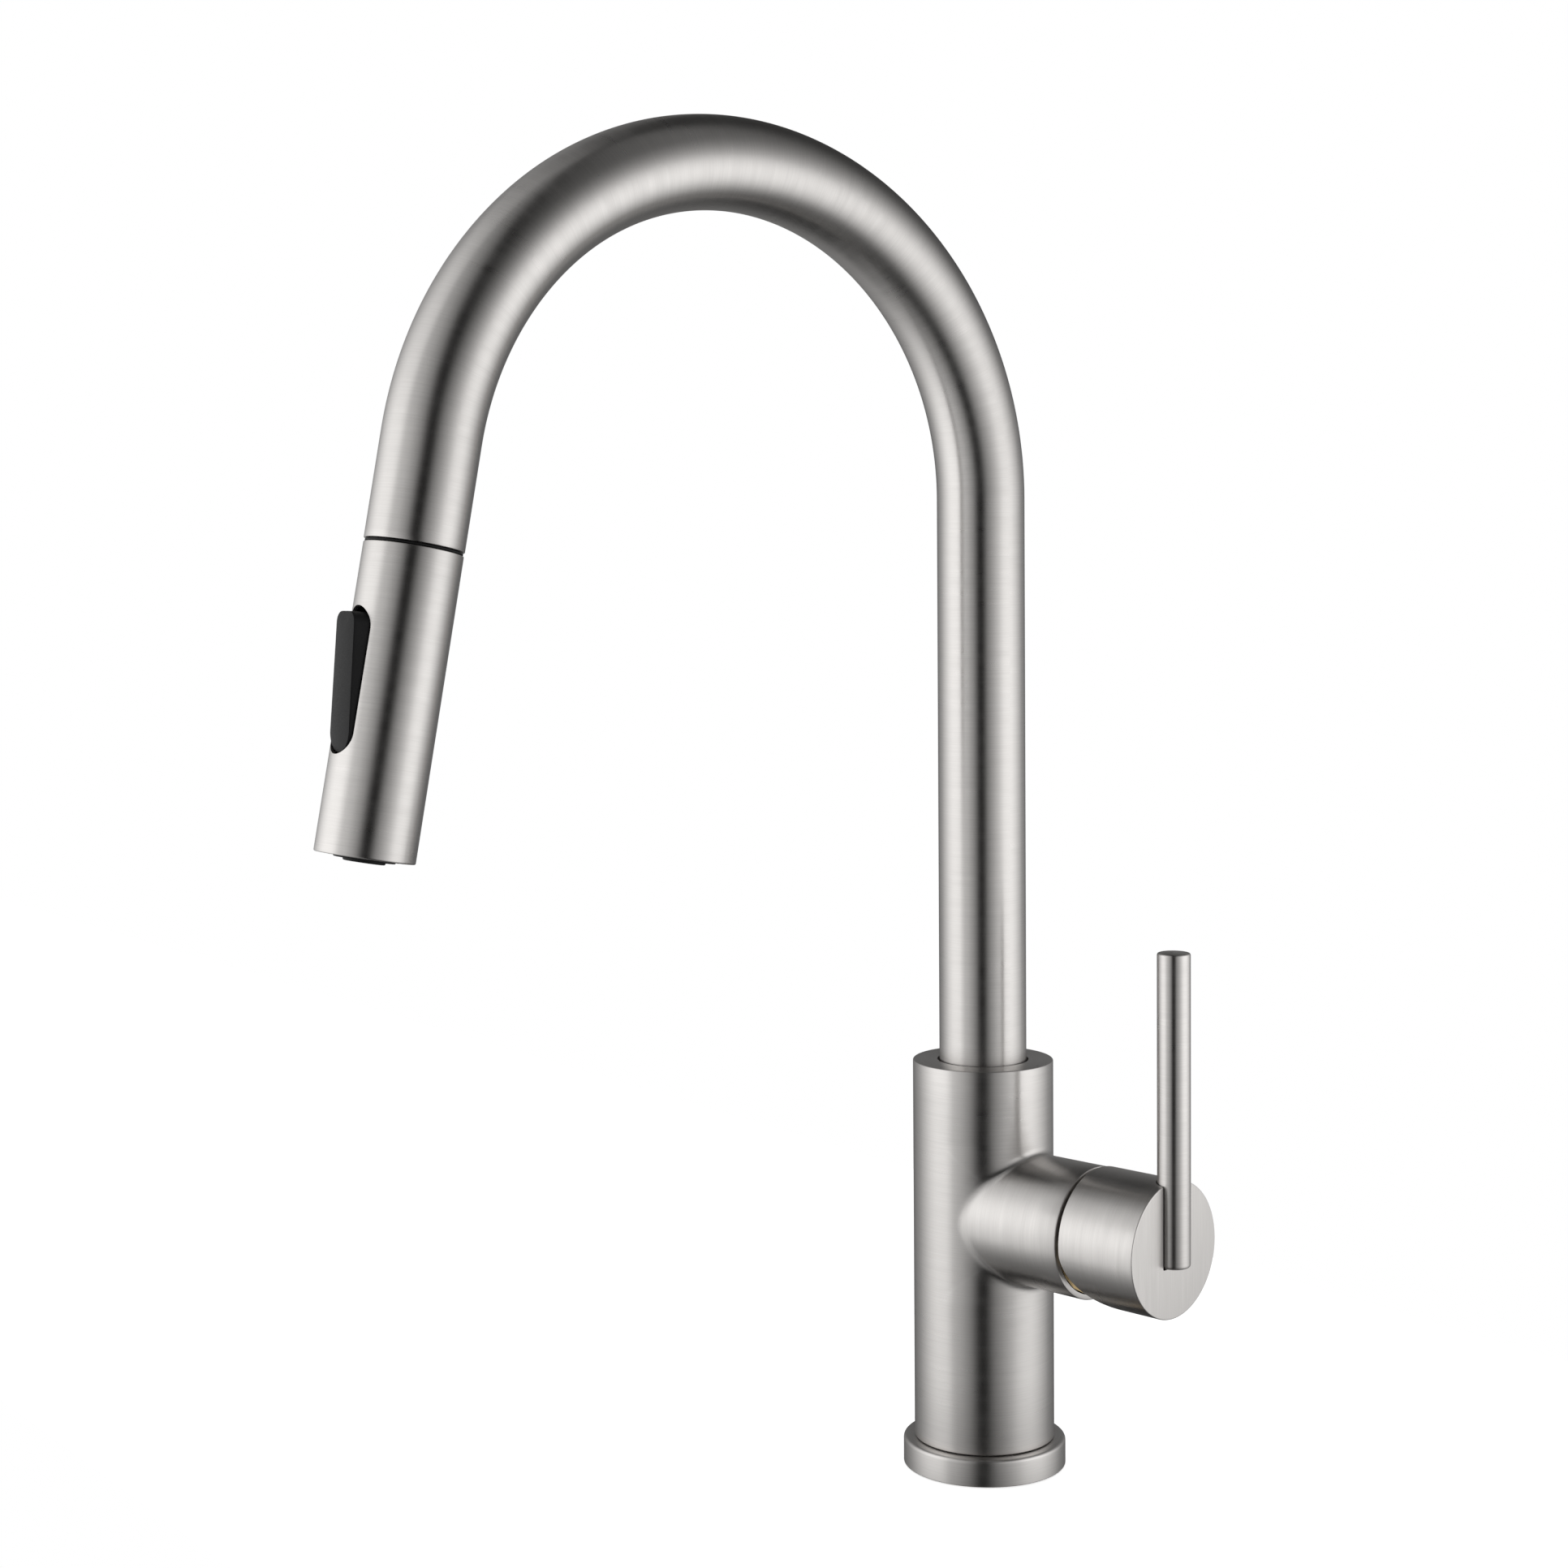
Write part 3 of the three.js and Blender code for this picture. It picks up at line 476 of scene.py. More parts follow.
def fine_wear_group():
    """Slow smudges and fine specks on a surface, in metres of object space."""
    tree, inside, out = group_tree("Fine Wear", "ShaderNodeTree", [
        ("Vector", "INPUT", "NodeSocketVector", None),
        ("Smudge Size", "INPUT", "NodeSocketFloat", 40.0),
        ("Speck Size", "INPUT", "NodeSocketFloat", 2200.0),
        ("Smudges", "OUTPUT", "NodeSocketFloat", None),
        ("Specks", "OUTPUT", "NodeSocketFloat", None),
    ])
    for output, size, detail in (("Smudges", "Smudge Size", 3.0), ("Specks", "Speck Size", 2.0)):
        noise = tree.nodes.new("ShaderNodeTexNoise")
        noise.inputs["Detail"].default_value = detail
        tree.links.new(inside.outputs["Vector"], noise.inputs["Vector"])
        tree.links.new(inside.outputs[size], noise.inputs["Scale"])
        tree.links.new(noise.outputs["Fac"], out.inputs[output])
    return tree


def braid_weave_group():
    """Crossing strands on a hose: U runs along it and V round it, in millimetres."""
    tree, inside, out = group_tree("Braid Weave", "ShaderNodeTree", [
        ("Vector", "INPUT", "NodeSocketVector", None),
        ("Strand", "INPUT", "NodeSocketFloat", 1.45),
        ("Weave", "OUTPUT", "NodeSocketFloat", None),
        ("Tone", "OUTPUT", "NodeSocketFloat", None),
    ])
    split = tree.nodes.new("ShaderNodeSeparateXYZ")
    tree.links.new(inside.outputs["Vector"], split.inputs[0])
    waves = []
    for operation in ("ADD", "SUBTRACT"):
        slant = math_node(tree, operation, split.outputs["X"], split.outputs["Y"])
        phase = math_node(tree, "MULTIPLY", slant, inside.outputs["Strand"])
        waves.append(math_node(tree, "SINE", phase))
    high = math_node(tree, "MAXIMUM", waves[0], waves[1])
    low = math_node(tree, "MULTIPLY", waves[0], waves[1])
    tree.links.new(math_node(tree, "MULTIPLY_ADD", high, 0.5), out.inputs["Weave"])
    tree.links.new(math_node(tree, "MULTIPLY_ADD", low, 0.5), out.inputs["Tone"])
    return tree


# ---- materials -----------------------------------------------------------------------


class Finish:
    """A procedural material under construction, with short ways to wire it."""

    def __init__(self, name, base, metallic, roughness, **constants):
        self.material = bpy.data.materials.new(name)
        self.material.use_nodes = True
        self.tree = self.material.node_tree
        self.shader = self.tree.nodes["Principled BSDF"]
        self.base = base
        self.shader.inputs["Base Color"].default_value = (*base, 1)
        self.shader.inputs["Metallic"].default_value = metallic
        self.shader.inputs["Roughness"].default_value = roughness
        for socket, value in constants.items():
            self.shader.inputs[socket.replace("_", " ")].default_value = value
        self.coordinates = self.tree.nodes.new("ShaderNodeTexCoord").outputs["Object"]

    def link(self, output, socket):
        self.tree.links.new(output, self.shader.inputs[socket])

    def own_map(self):
        node = self.tree.nodes.new("ShaderNodeUVMap")
        node.uv_map = BRUSH
        return node.outputs["UV"]

    def group(self, tree, vector, **inputs):
        node = self.tree.nodes.new("ShaderNodeGroup")
        node.node_tree = tree
        self.tree.links.new(vector, node.inputs["Vector"])
        for key, value in inputs.items():
            node.inputs[key.replace("_", " ")].default_value = value
        return node.outputs

    def spread(self, value, low, high):
        """A value from 0.3 to 0.7, the body of a noise, spread between two others."""
        node = self.tree.nodes.new("ShaderNodeMapRange")
        node.inputs["From Min"].default_value, node.inputs["From Max"].default_value = 0.3, 0.7
        node.inputs["To Min"].default_value, node.inputs["To Max"].default_value = low, high
        self.tree.links.new(value, node.inputs["Value"])
        return node.outputs["Result"]

    def shades(self, value, low, high):
        """The base colour between two brightnesses of itself."""
        node = self.tree.nodes.new("ShaderNodeMix")
        node.data_type = "RGBA"
        ends = [s for s in node.inputs if s.type == "RGBA"]
        for socket, brightness in zip(ends, (low, high)):
            tone = [min(c * brightness, 1) for c in self.base]
            socket.default_value = (*tone, 1)
        self.tree.links.new(self.spread(value, 0, 1), node.inputs["Factor"])
        return next(s for s in node.outputs if s.type == "RGBA")

    def bump(self, height, distance, strength=1.0):
        node = self.tree.nodes.new("ShaderNodeBump")
        node.inputs["Distance"].default_value = distance
        node.inputs["Strength"].default_value = strength
        self.tree.links.new(height, node.inputs["Height"])
        self.link(node.outputs["Normal"], "Normal")


def make_finishes(colours):
    """Every material of the faucet, by name."""
    grain, wear, weave = brushed_grain_group(), fine_wear_group(), braid_weave_group()
    made = {}

    # Brushing lines spread a highlight across themselves, so the tangent follows U.
    steel = Finish("Brushed Steel", colours.steel, 1.0, 0.3, Anisotropic=0.72)
    lines = steel.group(grain, steel.own_map(), Lines=2.6, Run=0.045)
    smudges = steel.group(wear, steel.coordinates, Smudge_Size=26.0)
    steel.link(steel.shades(lines["Grain"], 0.95, 1.04), "Base Color")
    rough = math_node(steel.tree, "ADD", steel.spread(lines["Bands"], 0.27, 0.33),
                      steel.spread(smudges["Smudges"], -0.012, 0.012))
    steel.link(rough, "Roughness")
    steel.bump(lines["Grain"], 0.0000045)
    tangent = steel.tree.nodes.new("ShaderNodeTangent")
    tangent.direction_type, tangent.uv_map = "UV_MAP", BRUSH
    steel.link(tangent.outputs["Tangent"], "Tangent")
    made["brushed_steel"] = steel.material

    metals = {
        "brass": ("Machined Brass", colours.brass, 0.28),
        "copper": ("Copper Pipe", colours.copper, 0.25),
        "zinc_plate": ("Zinc Plate", colours.zinc, 0.38),
    }
    for key, (name, base, roughness) in metals.items():
        metal = Finish(name, base, 1.0, roughness)
        marks = metal.group(wear, metal.coordinates, Smudge_Size=60.0, Speck_Size=1500.0)
        metal.link(metal.shades(marks["Smudges"], 0.82, 1.08), "Base Color")
        metal.link(metal.spread(marks["Specks"], roughness - 0.06, roughness + 0.1), "Roughness")
        metal.bump(marks["Specks"], 0.000008)
        made[key] = metal.material

    moulded = {
        "black_plastic": ("Moulded Black Plastic", colours.black, 0.5, 0.00002),
        "rubber": ("Black Rubber", colours.rubber, 0.72, 0.00004),
        "white_plastic": ("Moulded White Plastic", colours.acetal, 0.38, 0.00001),
        "ceramic": ("Lapped Ceramic", colours.ceramic, 0.18, 0.000003),
    }
    for key, (name, base, roughness, depth) in moulded.items():
        plastic = Finish(name, base, 0.0, roughness, Specular_IOR_Level=0.22)
        skin = plastic.group(wear, plastic.coordinates, Smudge_Size=90.0, Speck_Size=3200.0)
        plastic.link(plastic.shades(skin["Smudges"], 0.85, 1.1), "Base Color")
        rough = plastic.spread(skin["Specks"], roughness - 0.05, roughness + 0.07)
        plastic.link(rough, "Roughness")
        plastic.bump(skin["Specks"], depth)
        made[key] = plastic.material

    braid = Finish("Braided Hose", colours.braid, 0.35, 0.45)
    strands = braid.group(weave, braid.own_map(), Strand=1.45)
    braid.link(braid.shades(strands["Weave"], 0.35, 1.5), "Base Color")
    braid.bump(strands["Weave"], 0.0002)
    made["braid"] = braid.material
    return made


# ---- node trees: shapes that follow a rule -------------------------------------------


def link_chain(tree, nodes):
    """Links geometry through a run of nodes."""
    for a, b in zip(nodes, nodes[1:]):
        source = next(s for s in a.outputs if s.type == "GEOMETRY" and s.enabled)
        target = next(s for s in b.inputs if s.type == "GEOMETRY" and s.enabled)
        tree.links.new(source, target)


def geometry_tree(name, sockets):
    """A shape tree, which takes a path and a finish besides its own sizes."""
    ends = [("Geometry", "INPUT", "NodeSocketGeometry", None),
            ("Geometry", "OUTPUT", "NodeSocketGeometry", None),
            ("Finish", "INPUT", "NodeSocketMaterial", None)]
    return group_tree(name, "GeometryNodeTree", ends + sockets)


def close_tree(tree, inside, out, source):
    """Ends a tree in Realize Instances and Set Material."""
    realize = tree.nodes.new("GeometryNodeRealizeInstances")
    paint = tree.nodes.new("GeometryNodeSetMaterial")
    tree.links.new(inside.outputs["Finish"], paint.inputs["Material"])
    link_chain(tree, [source, realize, paint])
    tree.links.new(paint.outputs["Geometry"], out.inputs["Geometry"])


def tube_tree():
    """A round tube along a path, with its Brush map in millimetres."""
    tree, inside, out = geometry_tree("Tube Along Path", [
        ("Radius", "INPUT", "NodeSocketFloat", 0.01),
        ("Sides", "INPUT", "NodeSocketInt", 64),
    ])
    add, link = tree.nodes.new, tree.links.new
    path = add("GeometryNodeMeshToCurve")
    link(inside.outputs["Geometry"], path.inputs["Mesh"])
    ring = add("GeometryNodeCurveArc")
    ring.mode = "RADIUS"
    ring.inputs["Sweep Angle"].default_value = 2 * math.pi
    link(inside.outputs["Radius"], ring.inputs["Radius"])
    points = math_node(tree, "ADD", inside.outputs["Sides"], 1)
    link(points, ring.inputs["Resolution"])
    captured = []
    for source, field in ((path, "Length"), (ring, "Factor")):
        keep, parameter = add("GeometryNodeCaptureAttribute"), add("GeometryNodeSplineParameter")
        keep.capture_items.new("FLOAT", field)
        link_chain(tree, [source, keep])
        link(parameter.outputs[field], keep.inputs[field])
        captured.append(keep)
    sweep = add("GeometryNodeCurveToMesh")
    link(captured[0].outputs["Geometry"], sweep.inputs["Curve"])
    link(captured[1].outputs["Geometry"], sweep.inputs["Profile Curve"])
    spot = add("ShaderNodeCombineXYZ")
    link(math_node(tree, "MULTIPLY", captured[0].outputs["Length"], 1 / MM), spot.inputs["X"])
    girth = math_node(tree, "MULTIPLY", inside.outputs["Radius"], 2 * math.pi / MM)
    link(math_node(tree, "MULTIPLY", captured[1].outputs["Factor"], girth), spot.inputs["Y"])
    store = add("GeometryNodeStoreNamedAttribute")
    store.data_type, store.domain = "FLOAT2", "CORNER"
    store.inputs["Name"].default_value = BRUSH
    link(spot.outputs[0], next(s for s in store.inputs if s.name == "Value" and s.enabled))
    merge = add("GeometryNodeMergeByDistance")
    merge.inputs["Distance"].default_value = 1e-6
    smooth = add("GeometryNodeSetShadeSmooth")
    link_chain(tree, [sweep, store, merge, smooth])
    close_tree(tree, inside, out, smooth)
    return tree


def thread_tree():
    """A screw thread: a ridge that climbs round the Z axis."""
    tree, inside, out = geometry_tree("Screw Thread", [
        ("Radius", "INPUT", "NodeSocketFloat", 0.016),
        ("Pitch", "INPUT", "NodeSocketFloat", 0.002),
        ("Turns", "INPUT", "NodeSocketFloat", 20),
        ("Ridge", "INPUT", "NodeSocketFloat", 0.0007),
        ("Start", "INPUT", "NodeSocketFloat", 0.0),
    ])
    add, link = tree.nodes.new, tree.links.new
    climb = add("GeometryNodeCurveSpiral")
    climb.inputs["Resolution"].default_value = 48
    link(inside.outputs["Turns"], climb.inputs["Rotations"])
    for socket in ("Start Radius", "End Radius"):
        link(inside.outputs["Radius"], climb.inputs[socket])
    rise = math_node(tree, "MULTIPLY", inside.outputs["Pitch"], inside.outputs["Turns"])
    link(rise, climb.inputs["Height"])
    lift, shift = add("GeometryNodeSetPosition"), add("ShaderNodeCombineXYZ")
    link(inside.outputs["Start"], shift.inputs["Z"])
    link(shift.outputs[0], lift.inputs["Offset"])
    upright_section = add("GeometryNodeSetCurveNormal")
    upright_section.mode = "Z_UP"
    ridge = add("GeometryNodeCurvePrimitiveCircle")
    ridge.inputs["Resolution"].default_value = 4
    link(inside.outputs["Ridge"], ridge.inputs["Radius"])
    sweep = add("GeometryNodeCurveToMesh")
    sweep.inputs["Fill Caps"].default_value = True
    link_chain(tree, [climb, lift, upright_section, sweep])
    link(ridge.outputs["Curve"], sweep.inputs["Profile Curve"])
    close_tree(tree, inside, out, sweep)
    return tree


def nozzle_tree():
    """A ring of soft spray nozzles that point down from a height."""
    tree, inside, out = geometry_tree("Nozzle Row", [
        ("Count", "INPUT", "NodeSocketInt", 24),
        ("Row Radius", "INPUT", "NodeSocketFloat", 0.01),
        ("Tip", "INPUT", "NodeSocketFloat", 0.00035),
        ("Root", "INPUT", "NodeSocketFloat", 0.0006),
        ("Height", "INPUT", "NodeSocketFloat", 0.001),
    ])
    add, link = tree.nodes.new, tree.links.new
    row = add("GeometryNodeCurvePrimitiveCircle")
    link(inside.outputs["Count"], row.inputs["Resolution"])
    link(inside.outputs["Row Radius"], row.inputs["Radius"])
    nozzle = add("GeometryNodeMeshCone")
    nozzle.inputs["Vertices"].default_value = 12
    link(inside.outputs["Root"], nozzle.inputs["Radius Bottom"])
    link(inside.outputs["Tip"], nozzle.inputs["Radius Top"])
    link(inside.outputs["Height"], nozzle.inputs["Depth"])
    set_out = add("GeometryNodeInstanceOnPoints")
    link(row.outputs["Curve"], set_out.inputs["Points"])
    link(nozzle.outputs["Mesh"], set_out.inputs["Instance"])
    close_tree(tree, inside, out, set_out)
    return tree


def grow(name, tree, points, edges, **inputs):
    """Runs a shape tree on a path and keeps the result as a plain mesh."""
    mesh = bpy.data.meshes.new(name)
    mesh.from_pydata([tuple(p) for p in points], edges, [])
    obj = bpy.data.objects.new(name, mesh)
    bpy.context.scene.collection.objects.link(obj)
    modifier = obj.modifiers.new(tree.name, "NODES")
    modifier.node_group = tree
    named = {s.name: s.identifier for s in tree.interface.items_tree if s.in_out == "INPUT"}
    for key, value in inputs.items():
        modifier[named[key.replace("_", " ")]] = value
    settle(obj)
    if not obj.data.polygons:
        raise RuntimeError(f"{name}: its node tree made no faces")
    return obj


def tube(name, points, radius, finish, sides=48, ends=True):
    """A closed round tube along points in metres."""
    edges = [(i, i + 1) for i in range(len(points) - 1)]
    obj = grow(name, STUDIO.trees["tube"], points, edges, Radius=radius, Sides=sides, Finish=finish)
    bm = bmesh.new()
    bm.from_mesh(obj.data)
    if ends:
        bmesh.ops.holes_fill(bm, edges=[e for e in bm.edges if e.is_boundary], sides=0)
    bmesh.ops.recalc_face_normals(bm, faces=bm.faces)
    bm.to_mesh(obj.data)
    bm.free()
    return crisp(obj, 40)


# ---- the spout's centre line ---------------------------------------------------------


def spout_route(s):
    """Points down the spout's centre line in metres, from the tube's foot to the seam."""

    def arc(centre, radius, start, end, steps):
        return [(centre[0] + radius * math.cos(a), centre[1] + radius * math.sin(a))
                for a in np.linspace(start, end, steps + 1)]

    centre = (-s.bend_1, s.spring)
    swing = s.bend_1 - s.bend_2
    shoulder = (centre[0] + swing * math.cos(s.turn_1), centre[1] + swing * math.sin(s.turn_1))
    last = math.pi - s.tilt
    riser = [(0.0, z) for z in np.arange(s.foot, s.spring - 1, 8)]
    first = arc(centre, s.bend_1, 0, s.turn_1, 110)
    second = arc(shoulder, s.bend_2, s.turn_1, last, 36)
    down = np.array([-math.sin(s.tilt), -math.cos(s.tilt)])
    leg_start = np.array(second[-1])
    leg = [tuple(leg_start + down * d) for d in np.linspace(0, s.leg, 12)[1:]]
    route = riser + first + second[1:] + leg
    return [Vector((0, y, z)) * MM for y, z in route]


# ---- the body's outer wall -----------------------------------------------------------


def body_wall(b, hub_r):
    """The upright body with its side branch, as one solid with soft corners.

    Local Z is the handle's axis turned upright: local X faces along the branch."""
    axis_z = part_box("handle_hub")[0].z / MM + hub_r
    around, rows_up, corner_rows, margin, rim = 192, 30, 6, 5.5, 0.5
    half = around // 4
    window = (axis_z - b.branch_r - margin, axis_z + b.branch_r + margin)
    step = 2 * math.pi / around
    points, faces = [], []

    def add(x, y, z):
        points.append((x, y, z))
        return len(points) - 1

    def on_wall(flat, z, r=b.body_r):
        return add(r * math.cos(flat / b.body_r), r * math.sin(flat / b.body_r), z)

    def strip(row_a, row_b, closed=True):
        n = len(row_a)
        for k in range(n if closed else n - 1):
            m = (k + 1) % n
            faces.append((row_a[k], row_a[m], row_b[m], row_b[k]))

    def ring(z, r=b.body_r):
        return [add(r * math.cos(k * step), r * math.sin(k * step), z) for k in range(around)]

    # Rings below and above the branch, with soft outer edges.
    soft = [(b.body_edge * (1 - math.cos(a)), b.body_edge * (1 - math.sin(a)))
            for a in np.linspace(0, math.pi / 2, 5)]
    foot = [ring(b.body_foot + rise, b.body_r - inset) for inset, rise in reversed(soft)]
    foot.append(ring((b.body_foot + window[0]) / 2))
    low = ring(window[0])
    high = ring(window[1])
    head = [ring((b.body_top + window[1]) / 2)]
    head += [ring(b.body_top - drop, b.body_r - inset) for inset, drop in soft]
    for rows in (foot + [low], [high] + head):
        for a, c in zip(rows, rows[1:]):
            strip(a, c)
    for row, z, flip in ((foot[0], b.body_foot, True), (head[-1], b.body_top, False)):
        pole = add(0, 0, z)
        for k in range(around):
            m = (k + 1) % around
            faces.append((pole, row[m], row[k]) if flip else (pole, row[k], row[m]))

    # The half turned away from the branch, between those rings.
    columns = [k % around for k in range(half, around - half + 1)]
    levels = np.linspace(*window, rows_up + 1)
    grid = [[low[k] for k in columns]]
    grid += [[on_wall(k * step * b.body_r, z) for k in columns] for z in levels[1:-1]]
    grid.append([high[k] for k in columns])
    for a, c in zip(grid, grid[1:]):
        strip(a, c, closed=False)

    # The window's edge, once round: up the near side, across the top, down, and back.
    right = [row[-1] for row in grid]
    left = [row[0] for row in grid]
    top = [high[k % around] for k in range(-half, half + 1)]
    bottom = [low[k % around] for k in range(half, -half - 1, -1)]
    edge = right[:-1] + top[:-1] + left[::-1][:-1] + bottom[:-1]
    flat_edge = []
    for index in edge:
        x, y, z = points[index]
        flat_edge.append((math.atan2(y, x) * b.body_r, z - axis_z))

    # Rows from the window's edge to the branch, then the soft corner and the branch.
    corner = b.fillet
    turn = [math.atan2(z, flat) for flat, z in flat_edge]
    cross = np.array([(b.branch_r * math.cos(t), b.branch_r * math.sin(t)) for t in turn])
    reach = np.sqrt(b.body_r ** 2 - cross[:, 0] ** 2)
    joint = np.stack([b.body_r * np.arcsin(cross[:, 0] / b.body_r), cross[:, 1]], 1)
    slope = reach / b.body_r
    outward = np.stack([np.cos(turn) * slope, np.sin(turn)], 1)
    outward /= np.linalg.norm(outward, axis=1)[:, None]
    brim = joint + outward * corner
    flat_edge = np.array(flat_edge)
    last = edge
    for t in np.linspace(0, 1, corner_rows + 1)[1:]:
        row = flat_edge * (1 - t) + brim * t
        ids = [on_wall(f, z + axis_z) for f, z in row]
        strip(last, ids)
        last = ids
    start = np.array([points[i] for i in last])
    knee = np.stack([reach, cross[:, 0], cross[:, 1] + axis_z], 1)
    end = knee + np.array([corner, 0, 0])
    for t in np.linspace(0, 1, corner_rows + 1)[1:]:
        row = (1 - t) ** 2 * start + 2 * t * (1 - t) * knee + t * t * end
        ids = [add(*p) for p in row]
        strip(last, ids)
        last = ids
    tip = b.branch_end
    sleeve = [end + (np.array([tip - rim, 0, 0]) - end * [1, 0, 0]) * share
              for share in (0.34, 0.68)]
    for station, inset in ((tip - rim, 0), (tip - rim * 0.3, rim * 0.3), (tip, rim)):
        scale = (b.branch_r - inset) / b.branch_r
        sleeve.append(np.stack([np.full(len(turn), station), cross[:, 0] * scale,
                                cross[:, 1] * scale + axis_z], 1))
    for row in sleeve:
        ids = [add(*p) for p in row]
        strip(last, ids)
        last = ids
    pole = add(tip, 0, axis_z)
    for k in range(len(last)):
        faces.append((pole, last[k], last[(k + 1) % len(last)]))

    along = JOINTS["handle_mix"]["axis"]
    place = Matrix.Rotation(math.atan2(along[1], along[0]), 4, "Z")
    return new_piece("faucet_body", [place @ (Vector(p) * MM) for p in points], faces)


# ---- operators -----------------------------------------------------------------------


class Build(bpy.types.Operator):
    bl_options = {"REGISTER", "UNDO"}

    def sizes(self, context, name):
        return in_mm(getattr(context.scene, f"faucet_{name}"))


class FAUCET_OT_stage(Build):
    """Set up the studio: floor, soft light and camera"""

    bl_idname = "faucet.stage"
    bl_label = "Studio"

    def execute(self, context):
        colours = context.scene.faucet_finish
        make_camera(context)
        make_light(context)
        make_floor(context, colours.floor)
        STUDIO.finishes = make_finishes(colours)
        STUDIO.trees = {"tube": tube_tree(), "thread": thread_tree(), "nozzles": nozzle_tree()}
        return {"FINISHED"}


VIEW_AZIMUTH = 54.101  # degrees from looking along +Y, with the camera turning towards +X
VIEW_PITCH = 2.566  # degrees below the horizon
VIEW_ROLL = -0.425  # degrees
VIEW_PLACE = Vector((0.653195, -0.551029, 0.296876))
VIEW_LENS, VIEW_SHIFT = 60.99, -0.0747


def make_camera(context):
    turn, drop = math.radians(VIEW_AZIMUTH), math.radians(VIEW_PITCH)
    ahead = Vector((-math.sin(turn) * math.cos(drop), math.cos(turn) * math.cos(drop),
                    -math.sin(drop)))
    right = Vector((math.cos(turn), math.sin(turn), 0))
    above = right.cross(ahead)
    roll = math.radians(VIEW_ROLL)
    level = right * math.cos(roll) + above * math.sin(roll)
    above = above * math.cos(roll) - right * math.sin(roll)
    camera = bpy.data.cameras.new("Studio Camera")
    camera.lens, camera.sensor_width, camera.shift_y = VIEW_LENS, 36, VIEW_SHIFT
    camera.clip_start = 0.01
    obj = bpy.data.objects.new("Studio Camera", camera)
    context.scene.collection.objects.link(obj)
    obj.matrix_world = upright(VIEW_PLACE, level, above, -ahead)
    context.scene.camera = obj


# Softbox brightness by turn from the camera's side, in degrees, and by height (sine).
ROUND = [
    (-180, 0.15), (-172, 0.17), (-142, 0.45), (-122, 0.88), (-106, 1.27), (-93, 1.50), (-70, 1.50),
    (-62, 1.24), (-55, 0.86), (-42, 0.78), (-31, 0.55), (-21, 0.38), (-11, 0.08), (-6, 0.0),
    (5, 0.0), (10, 0.10), (20, 0.38), (30, 0.54), (40, 0.76), (50, 1.0), (61, 1.40), (71, 1.50),
    (84, 1.50), (94, 1.26), (107, 0.90), (124, 0.42), (151, 0.17), (180, 0.15),
]
LEFT_HEIGHTS = [
    (-1, 0.12), (-0.90, 0.17), (-0.82, 0.28), (-0.74, 0.43), (-0.64, 0.65), (-0.52, 0.75),
    (-0.38, 0.86), (-0.2, 0.96), (-0.05, 1.0), (0.08, 0.98), (0.24, 0.92), (0.38, 0.84),
    (0.52, 0.70), (0.63, 0.62), (0.77, 0.55), (0.86, 0.35), (1, 0.15),
]
RIGHT_HEIGHTS = [
    (-1, 0.08), (-0.85, 0.13), (-0.74, 0.28), (-0.60, 0.58), (-0.48, 0.75), (-0.36, 0.90),
    (-0.2, 0.98), (-0.05, 0.98), (0.05, 0.94), (0.18, 0.84), (0.31, 0.67), (0.43, 0.47),
    (0.54, 0.34), (0.64, 0.24), (0.8, 0.13), (1, 0.12),
]
STUDIO_CENTRE = Vector((0, -0.1, 0.26))


def ramp(tree, value, stops, low, high, top):
    """Reads a value through brightness stops that run from low to high."""
    node = tree.nodes.new("ShaderNodeValToRGB")
    spread = tree.nodes.new("ShaderNodeMapRange")
    spread.inputs["From Min"].default_value = low
    spread.inputs["From Max"].default_value = high
    tree.links.new(value, spread.inputs["Value"])
    tree.links.new(spread.outputs["Result"], node.inputs["Fac"])
    elements = node.color_ramp.elements
    for i, (at, brightness) in enumerate(stops):
        place = (at - low) / (high - low)
        stop = elements[i] if i < 2 else elements.new(place)
        stop.position = place
        stop.color = (brightness / top,) * 3 + (1,)
    return math_node(tree, "MULTIPLY", node.outputs["Color"], top)


def make_light(context):
    """Soft even light with a white backdrop, and softboxes on a round wall for reflections."""
    world = bpy.data.worlds.new("Studio")
    world.use_nodes = True
    context.scene.world = world
    context.scene.view_settings.view_transform = "Standard"
    world.cycles_visibility.glossy = False
    tree = world.node_tree
    light, out = tree.nodes["Background"], tree.nodes["World Output"]
    light.inputs["Color"].default_value = (0.62, 0.62, 0.62, 1)
    backdrop = tree.nodes.new("ShaderNodeBackground")
    backdrop.inputs["Color"].default_value = (1, 1, 1, 1)
    mix = tree.nodes.new("ShaderNodeMixShader")
    seen = tree.nodes.new("ShaderNodeLightPath").outputs["Is Camera Ray"]
    tree.links.new(seen, mix.inputs["Fac"])
    tree.links.new(light.outputs[0], mix.inputs[1])
    tree.links.new(backdrop.outputs[0], mix.inputs[2])
    tree.links.new(mix.outputs[0], out.inputs["Surface"])
    make_softboxes(context)


